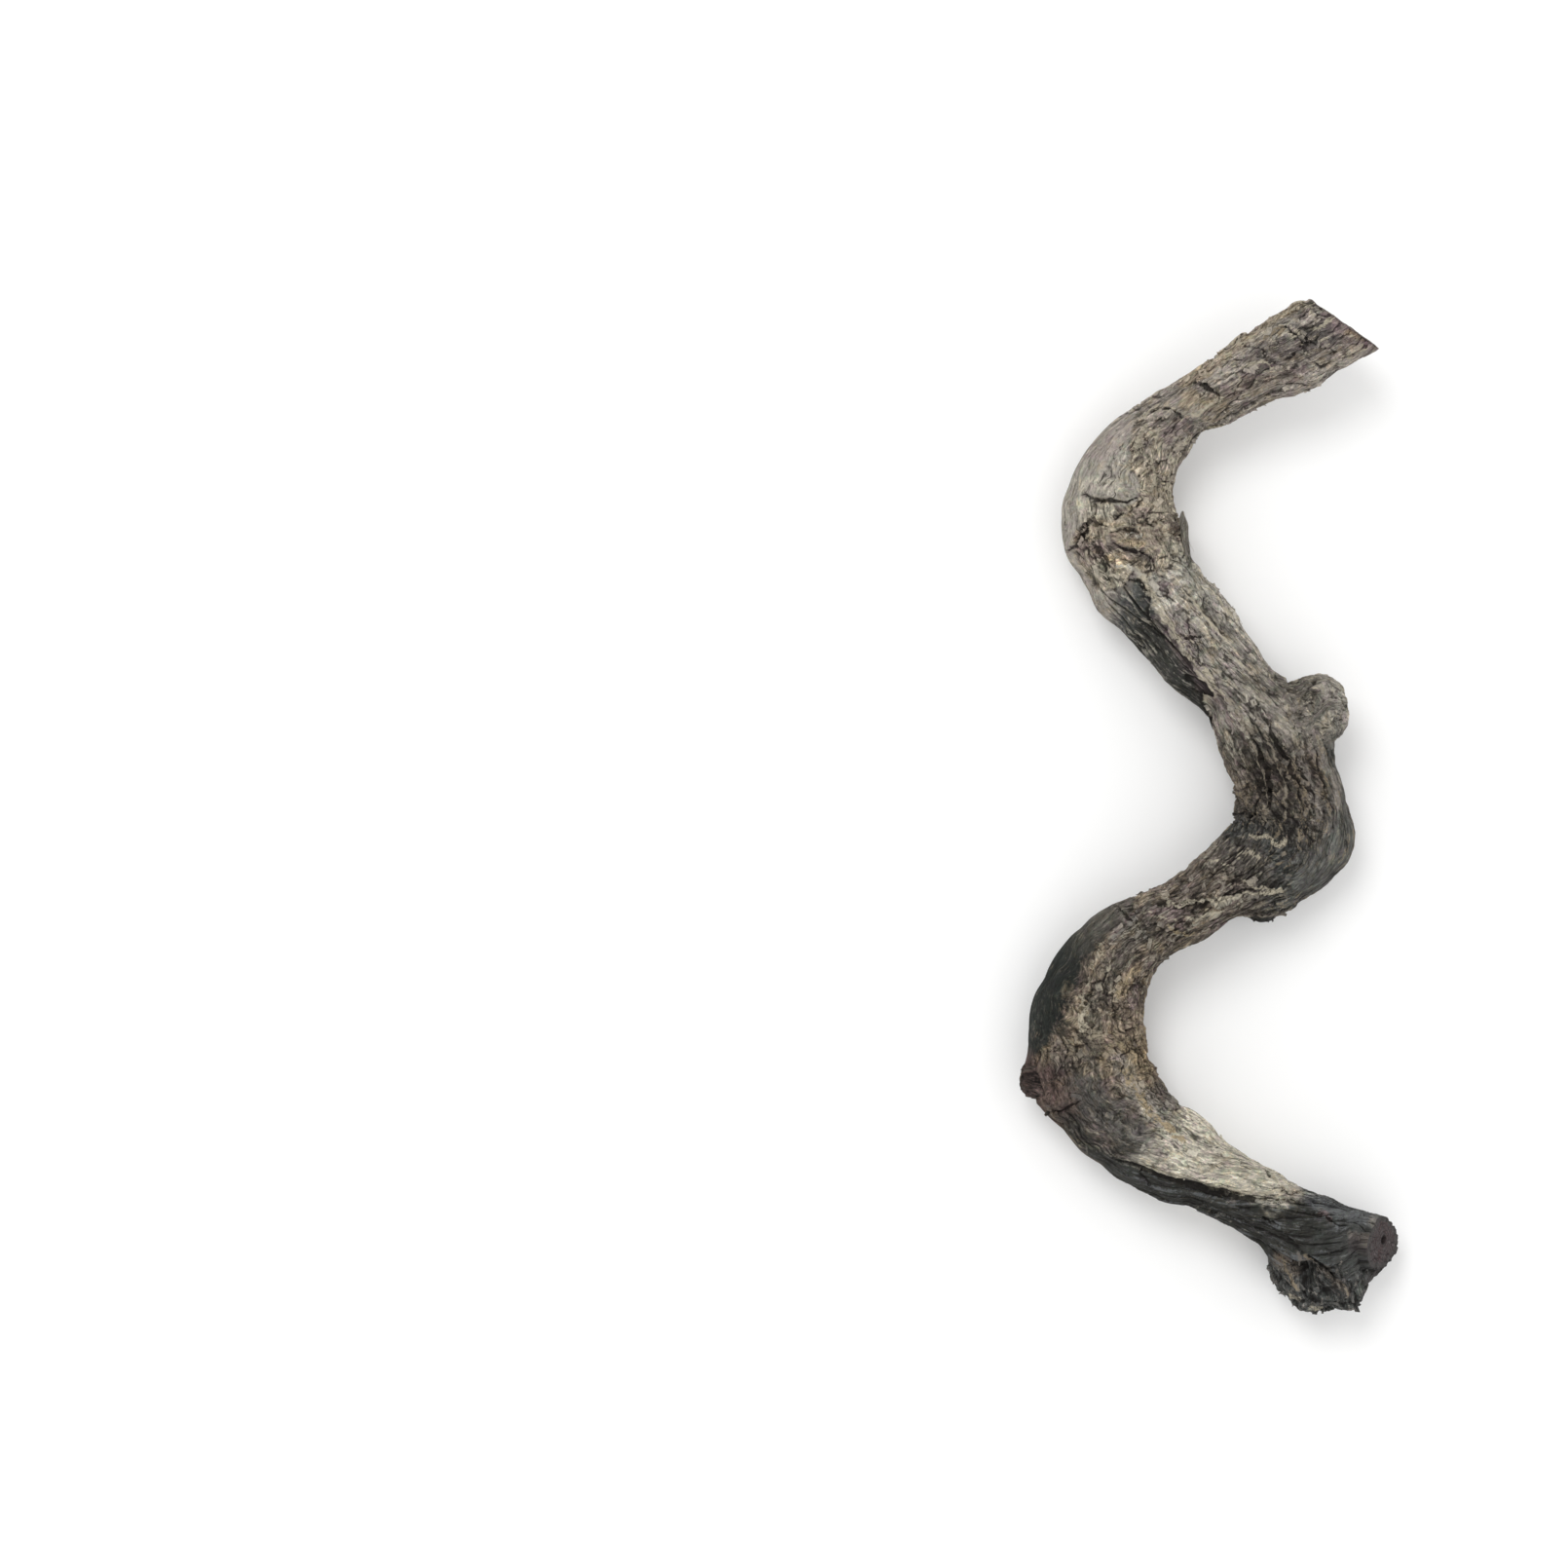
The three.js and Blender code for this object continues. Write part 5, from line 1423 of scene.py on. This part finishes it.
# Joins a sawn face's rings to the start or the end of a grid and its values.
def withFace(grid, values, face, faceTone, atStart):
    rings, place, away = face
    plain = np.zeros(place.shape)
    rim = np.linspace(1, 0, len(away))[:, None] + 0 * away
    rimTone = values["tone"][0 if atStart else -1].mean(axis=0)
    extra = {"grain": place, "bark": ramp(0.74, 1.0, rim), "standing": 0.5 + 0 * away, "crest": 0 * away,
             "rough": 0 * away, "tone": plain + rimTone, "bareTone": plain + palette[faceTone],
             "dust": plain + palette["ash"]}
    if atStart:
        joined = {key: np.concatenate([extra[key][::-1], data]) for key, data in values.items()}
        return np.concatenate([rings[::-1], grid]), joined
    joined = {key: np.concatenate([data, extra[key]]) for key, data in values.items()}
    return np.concatenate([grid, rings]), joined


# Each piece goes one ring on below its neighbour, so that light falls alike on both sides of a seam.
def makeStem(points, values, station):
    faceRings = stem["faceRings"]
    start = 0
    for name, until in stem["pieces"]:
        stop = min(int(np.searchsorted(station, until)), len(points) - 1)
        atStart, atEnd = start == 0, stop == len(points) - 1
        first, last = max(start - 1, 0), min(stop + 2, len(points))
        grid = points[first:last].copy()
        part = {key: data[first:last] for key, data in values.items()}
        for row, isEnd in ((0, atStart), (-1, atEnd)):
            if not isEnd:
                grid[row] += stem["tuck"] * unit(grid[row].mean(axis=0) - grid[row])
        if atStart:
            face = sawnFace(points[0], upperCut, faceRings)
            grid, part = withFace(grid, part, face, upperCut["face"], True)
        if atEnd:
            face = sawnFace(points[-1], lowerCut, faceRings, pith)
            grid, part = withFace(grid, part, face, lowerCut["face"], False)
        slot = "charcoal_wood" if atEnd else "weathered_wood"
        piece = gridObject(name, grid, part, [slotWood[slot], endGrain],
                           faceRings if atStart else 0, faceRings if atEnd else 0)
        finishPiece(piece, slot, "sawn_fork" if atEnd else "main_stem")
        start = stop


stemAxis = makeAxis(stem["stations"], stem["lookAhead"])
stemPoints, stemValues, stemStation, stemLoose = stemGrid()
makeStem(stemPoints, stemValues, stemStation)
print("stem made")


# The rows of a limb and of its closed far end: points, outward, place along, angle, grain's radius.
def limbRows(limb, axis):
    lap = np.arange(limb["columns"]) * 2 * math.pi / limb["columns"]
    rows = int(axis["length"] / limbLook["rowSpacing"])
    along = np.linspace(0, axis["length"], rows)[:, None] + 0 * lap
    angle = lap + 0.2 * np.cos(lap) + 0 * along
    points, outward = ovalPoints(sectionAt(axis, along), angle, 1.0)
    rim, middle = points[-1], points[-1].mean(axis=0)
    share = np.linspace(1, 0.03, limbLook["capRings"] + 1)[1:, None, None]
    ahead = unit(axis["path"][-1] - axis["path"][-8])
    bulge = limbLook["capBulge"] * np.linalg.norm(rim - middle, axis=-1).mean()
    points = np.concatenate([points, middle + (rim - middle) * share + ahead * bulge * (1 - share ** 2)])
    along = np.concatenate([along, along[-1] + 6 * (1 - share[..., 0]) + 0 * angle[:1]])
    angle = np.concatenate([angle, np.repeat(angle[:1], len(share), axis=0)])
    radius = limbLook["grainRadius"] * np.concatenate([np.ones((rows, 1)), share[..., 0]])
    return points, outward[rows // 2], along, angle, radius


def makeLimb(limb):
    axis = limb["axis"]
    points, outward, along, angle, radius = limbRows(limb, axis)
    grain = grainPlace(angle, along + 300, 0, radius)
    normals = gridNormals(points)
    if np.sum(normals[int(axis["length"] / limbLook["rowSpacing"]) // 2] * outward) < 0:
        normals = -normals
    large = limb["columns"] > limbLook["large"]
    half = np.linalg.norm(points - points.mean(axis=1, keepdims=True), axis=-1)
    slim = np.clip(half / limbLook["thin"], 0.1, 1)
    above = ramp(-0.1, 0.3, normals[..., 2])
    lump = limb["lump"] * layered("lump", points / 5.5, 4, 0.6)
    bark, plate, rim = barkRelief(grain, limb)
    grow = fillet(toLimb(points, stemAxis), *limbLook["join"]) if large else 0
    grow = grow + markRelief(points, above) * large + outlineRelief(points, normals)
    points = points + (slim * (lump + bark) + grow)[..., None] * normals
    points = np.clip(points, boxLow, boxHigh)
    place = along / along.max() + 0.1 * noises["shade"](points / 4)
    stops = [at for at, _ in limb["tones"]]
    colours = np.array([palette[name] for _, name in limb["tones"]])
    tone = np.stack([np.interp(place, stops, channel) for channel in colours.T], axis=-1)
    tone = tone * (1 + 0.34 * layered("shade", grain / (5, 5, 7), 4, 0.65) + 0.17 * plate)[..., None]
    dust = 0 * tone + palette[limb["dust"]]
    crest = paint(points, above, [tone], dust)
    values = {"grain": swirled(grain, limb["swirl"]), "tone": tone, "bareTone": tone, "dust": dust,
              "crest": crest, "rough": limb["calm"] + 0 * along, "bark": 1 + 0 * along,
              "standing": standing(lump + bark)}
    piece = gridObject(limb["piece"], points, values, [slotWood[limb["slot"]]])
    finishPiece(piece, limb["slot"], limb["node"])
    ahead = np.zeros(points.shape) + unit(axis["path"][-1] - axis["path"][0])
    return points, {"tone": tone, "dust": dust, "way": ahead, "loose": limb["crumbs"] * (0.3 + 0.7 * rim)}


limbSkins = {name: makeLimb(limb) for name, limb in limbs.items()}
print("limbs made")


# Geometry Nodes that scatter one kind of loose bit over the wood, more where it is loose.
def makeScatterTree(name, addShape):
    tree = bpy.data.node_groups.new(name, "GeometryNodeTree")
    inputs = {"Wood": "Geometry", "Bits per square metre": "Float", "Length": "Float", "Lift": "Float",
              "Crooked": "Float", "Seed": "Int", "Material": "Material"}
    for label, kind in inputs.items():
        tree.interface.new_socket(label, in_out="INPUT", socket_type="NodeSocket" + kind)
    tree.interface.new_socket("Bits", in_out="OUTPUT", socket_type="NodeSocketGeometry")
    given = tree.nodes.new("NodeGroupInput").outputs

    # a node's first output
    def add(kind, inputs=None, **settings):
        return addNode(tree, kind, inputs, **settings).outputs[0]

    loose = add("GeometryNodeInputNamedAttribute", {"Name": "loose"}, data_type="FLOAT")
    way = add("GeometryNodeInputNamedAttribute", {"Name": "way"}, data_type="FLOAT_VECTOR")
    often = times(tree, loose, given["Bits per square metre"])
    spots = addNode(tree, "GeometryNodeDistributePointsOnFaces", {
        "Mesh": given["Wood"], "Density": often, "Seed": given["Seed"]}, distribute_method="RANDOM").outputs
    # each bit stands on the wood, lies along it and leans a little at random
    upright = add("FunctionNodeAlignRotationToVector", {"Vector": spots["Normal"]}, axis="Z")
    laid = add("FunctionNodeAlignRotationToVector", {"Rotation": upright, "Vector": way}, axis="X",
               pivot_axis="Z")
    most = add("ShaderNodeCombineXYZ", {0: given["Lift"], 1: given["Lift"], 2: 0.9})
    lean = add("FunctionNodeRandomValue", {0: scaled(tree, most, -1.0), 1: most, 8: given["Seed"]},
               data_type="FLOAT_VECTOR")
    turned = add("FunctionNodeRotateRotation", {0: laid, 1: add("FunctionNodeEulerToRotation", {0: lean})},
                 rotation_space="LOCAL")
    size = add("FunctionNodeRandomValue", {0: (0.35, 0.35, 0.5), 1: (1.3, 1.2, 1.3), 8: given["Seed"]},
               data_type="FLOAT_VECTOR")
    put = add("GeometryNodeInstanceOnPoints", {
        "Points": spots["Points"], "Instance": addShape(add, tree), "Rotation": turned,
        "Scale": scaled(tree, size, given["Length"])})
    real = add("GeometryNodeRealizeInstances", {0: put})
    bend = noiseAt(tree, add("GeometryNodeInputPosition"), 380.0, 3.0, 0.6)["Color"]
    crooked = scaled(tree, vectorMath(tree, "SUBTRACT", bend, (0.5, 0.5, 0.5)), given["Crooked"])
    moved = add("GeometryNodeSetPosition", {"Geometry": real, "Offset": crooked})
    painted = add("GeometryNodeSetMaterial", {"Geometry": moved, "Material": given["Material"]})
    tree.links.new(painted, tree.nodes.new("NodeGroupOutput").inputs[0])
    return tree


# A flake is a thin plate, curled along its length.
def flakeShape(add, tree):
    plate = add("GeometryNodeMeshCube", {"Size": (1.0, 0.55, 0.09), "Vertices X": 5, "Vertices Y": 3,
                                         "Vertices Z": 2})
    x = add("ShaderNodeSeparateXYZ", {0: add("GeometryNodeInputPosition")})
    rise = add("ShaderNodeCombineXYZ", {2: times(tree, x, x, 0.55)})
    return add("GeometryNodeSetPosition", {"Geometry": plate, "Offset": rise})


# A fibre is a long thin splinter, pointed at its far end.
def fibreShape(add, tree):
    spike = add("GeometryNodeMeshCone", {"Vertices": 4, "Side Segments": 6, "Radius Top": 0.006,
                                         "Radius Bottom": 0.028, "Depth": 1.0})
    return add("GeometryNodeTransform", {"Geometry": spike, "Rotation": (0.0, math.pi / 2, 0.0)})


def crumbShape(add, tree):
    return add("GeometryNodeMeshIcoSphere", {"Radius": 0.5, "Subdivisions": 2})


# Loose bits: their shape, what they lie on, and the inputs of their tree, with lengths in metres.
looseBits = {
    "bark_flakes": {
        "shape": flakeShape, "on": ["stem"], "slot": "weathered_wood",
        "inputs": {"Bits per square metre": 42000.0, "Length": 0.0028, "Lift": 0.22, "Crooked": 0.0007,
                   "Seed": 3},
    },
    "wood_fibres": {
        "shape": fibreShape, "on": ["stem", "sliver"], "slot": "weathered_wood",
        "inputs": {"Bits per square metre": 14000.0, "Length": 0.0045, "Lift": 0.08, "Crooked": 0.001,
                   "Seed": 5},
    },
    "bark_crumbs": {
        "shape": crumbShape, "on": ["stem"], "slot": "weathered_wood",
        "inputs": {"Bits per square metre": 60000.0, "Length": 0.0008, "Lift": 0.5, "Crooked": 0.0005,
                   "Seed": 7},
    },
    "fork_crust": {
        "shape": flakeShape, "on": ["broken_fork", "underLump"], "slot": "charcoal_wood",
        "inputs": {"Bits per square metre": 34000.0, "Length": 0.0026, "Lift": 0.5, "Crooked": 0.0012,
                   "Seed": 9},
    },
}
carrierStep = 2        # the bits stand on every second row and column of the skins
carrierEnds = 4        # rows left out at each end
overFloor = 0.05       # the bits' least height


# A coarse copy of the finished skins, only for the bits to be scattered on.
def makeCarrier(names):
    skins = {"stem": (stemPoints, {**stemValues, **stemLoose}), **limbSkins}
    corners, faces, begun = [], [], 0
    values = {key: [] for key in ("tone", "dust", "way", "loose")}
    kept = (slice(carrierEnds, -carrierEnds, carrierStep), slice(None, None, carrierStep))
    for name in names:
        points, given = skins[name]
        points = points[kept]
        rows, columns = points.shape[:2]
        quads = gridFaces(rows, columns) + begun
        middle = points.mean(axis=1, keepdims=True)
        normals = np.cross(points[1:-1] - points[:-2], np.roll(points, -1, axis=1)[1:-1] - points[1:-1])
        if np.sum(normals * (points - middle)[1:-1]) < 0:
            quads = quads[:, ::-1]
        corners.append(points.reshape(-1, 3))
        faces += quads[:, ::-1].tolist()
        begun += rows * columns
        for key, parts in values.items():
            parts.append(given[key][kept].reshape(rows * columns, -1))
    joined = {key: np.vstack(parts) for key, parts in values.items()}
    joined["loose"] = joined["loose"][:, 0]
    return makeObject("carrier", np.vstack(corners), faces, [], joined)


def scatter(name, settings):
    carrier = makeCarrier(settings["on"])
    tree = makeScatterTree(name, settings["shape"])
    modifier = carrier.modifiers.new(name, "NODES")
    modifier.node_group = tree
    sockets = {item.name: item.identifier for item in tree.interface.items_tree if item.in_out == "INPUT"}
    for label, value in {**settings["inputs"], "Material": looseBark}.items():
        modifier[sockets[label]] = value
    mesh = bpy.data.meshes.new_from_object(carrier.evaluated_get(bpy.context.evaluated_depsgraph_get()))
    carrier.modifiers.clear()
    bpy.data.objects.remove(carrier)
    spots = np.zeros(len(mesh.vertices) * 3, np.float32)
    mesh.vertices.foreach_get("co", spots)
    inBox = np.clip(spots.reshape(-1, 3) / metre + planMiddle, boxLow + (0, 0, overFloor), boxHigh)
    mesh.vertices.foreach_set("co", ((inBox - planMiddle) * metre).astype(np.float32).ravel())
    mesh.update()
    piece = bpy.data.objects.new(name, mesh)
    scene.collection.objects.link(piece)
    finishPiece(piece, settings["slot"])
    print(name, len(mesh.polygons), "faces")


for bitName, bitSettings in looseBits.items():
    scatter(bitName, bitSettings)


def makeFloor():
    material, _, shader = newMaterial("paleFloor", 0.9)
    shader["Base Color"].default_value = (*lighting["floor"], 1.0)
    shader["Specular IOR Level"].default_value = 0.1
    mesh = bpy.data.meshes.new("floor")
    half, below = lighting["floorHalf"], -lighting["floorBelow"]
    corners = [(-half, -half, below), (half, -half, below), (half, half, below), (-half, half, below)]
    mesh.from_pydata(corners, [], [(0, 1, 2, 3)])
    mesh.materials.append(material)
    floor = bpy.data.objects.new("floor", mesh)
    scene.collection.objects.link(floor)


def makeLight(name):
    settings = lighting[name]
    light = bpy.data.lights.new(name, "AREA")
    light.energy = settings["power"]
    light.shape = "DISK"
    light.size = settings["size"] * metre
    made = bpy.data.objects.new(name, light)
    made.location = [value * metre for value in settings["at"]]
    made.rotation_euler = (-made.location).to_track_quat("-Z", "Y").to_euler()
    scene.collection.objects.link(made)


def makeWorld():
    world = bpy.data.worlds.new("softRoom")
    scene.world = world
    world.use_nodes = True
    sky = world.node_tree.nodes["Background"]
    sky.inputs["Color"].default_value = (*lighting["world"], 1.0)
    sky.inputs["Strength"].default_value = lighting["worldStrength"]


def makeCamera():
    lens = bpy.data.cameras.new("photoCamera")
    lens.sensor_width = photoView["sensor"]
    distance = photoView["height"] - photoView["subjectHeight"]
    lens.lens = photoView["sensor"] * distance / photoView["frameWidth"]
    camera = bpy.data.objects.new("photoCamera", lens)
    camera.location = [value * metre for value in (*photoView["middle"], photoView["height"])]
    scene.collection.objects.link(camera)
    scene.camera = camera


makeFloor()
makeWorld()
makeLight("key")
makeLight("fill")
makeCamera()
scene.view_settings.view_transform = "Standard"
print("studio ready")
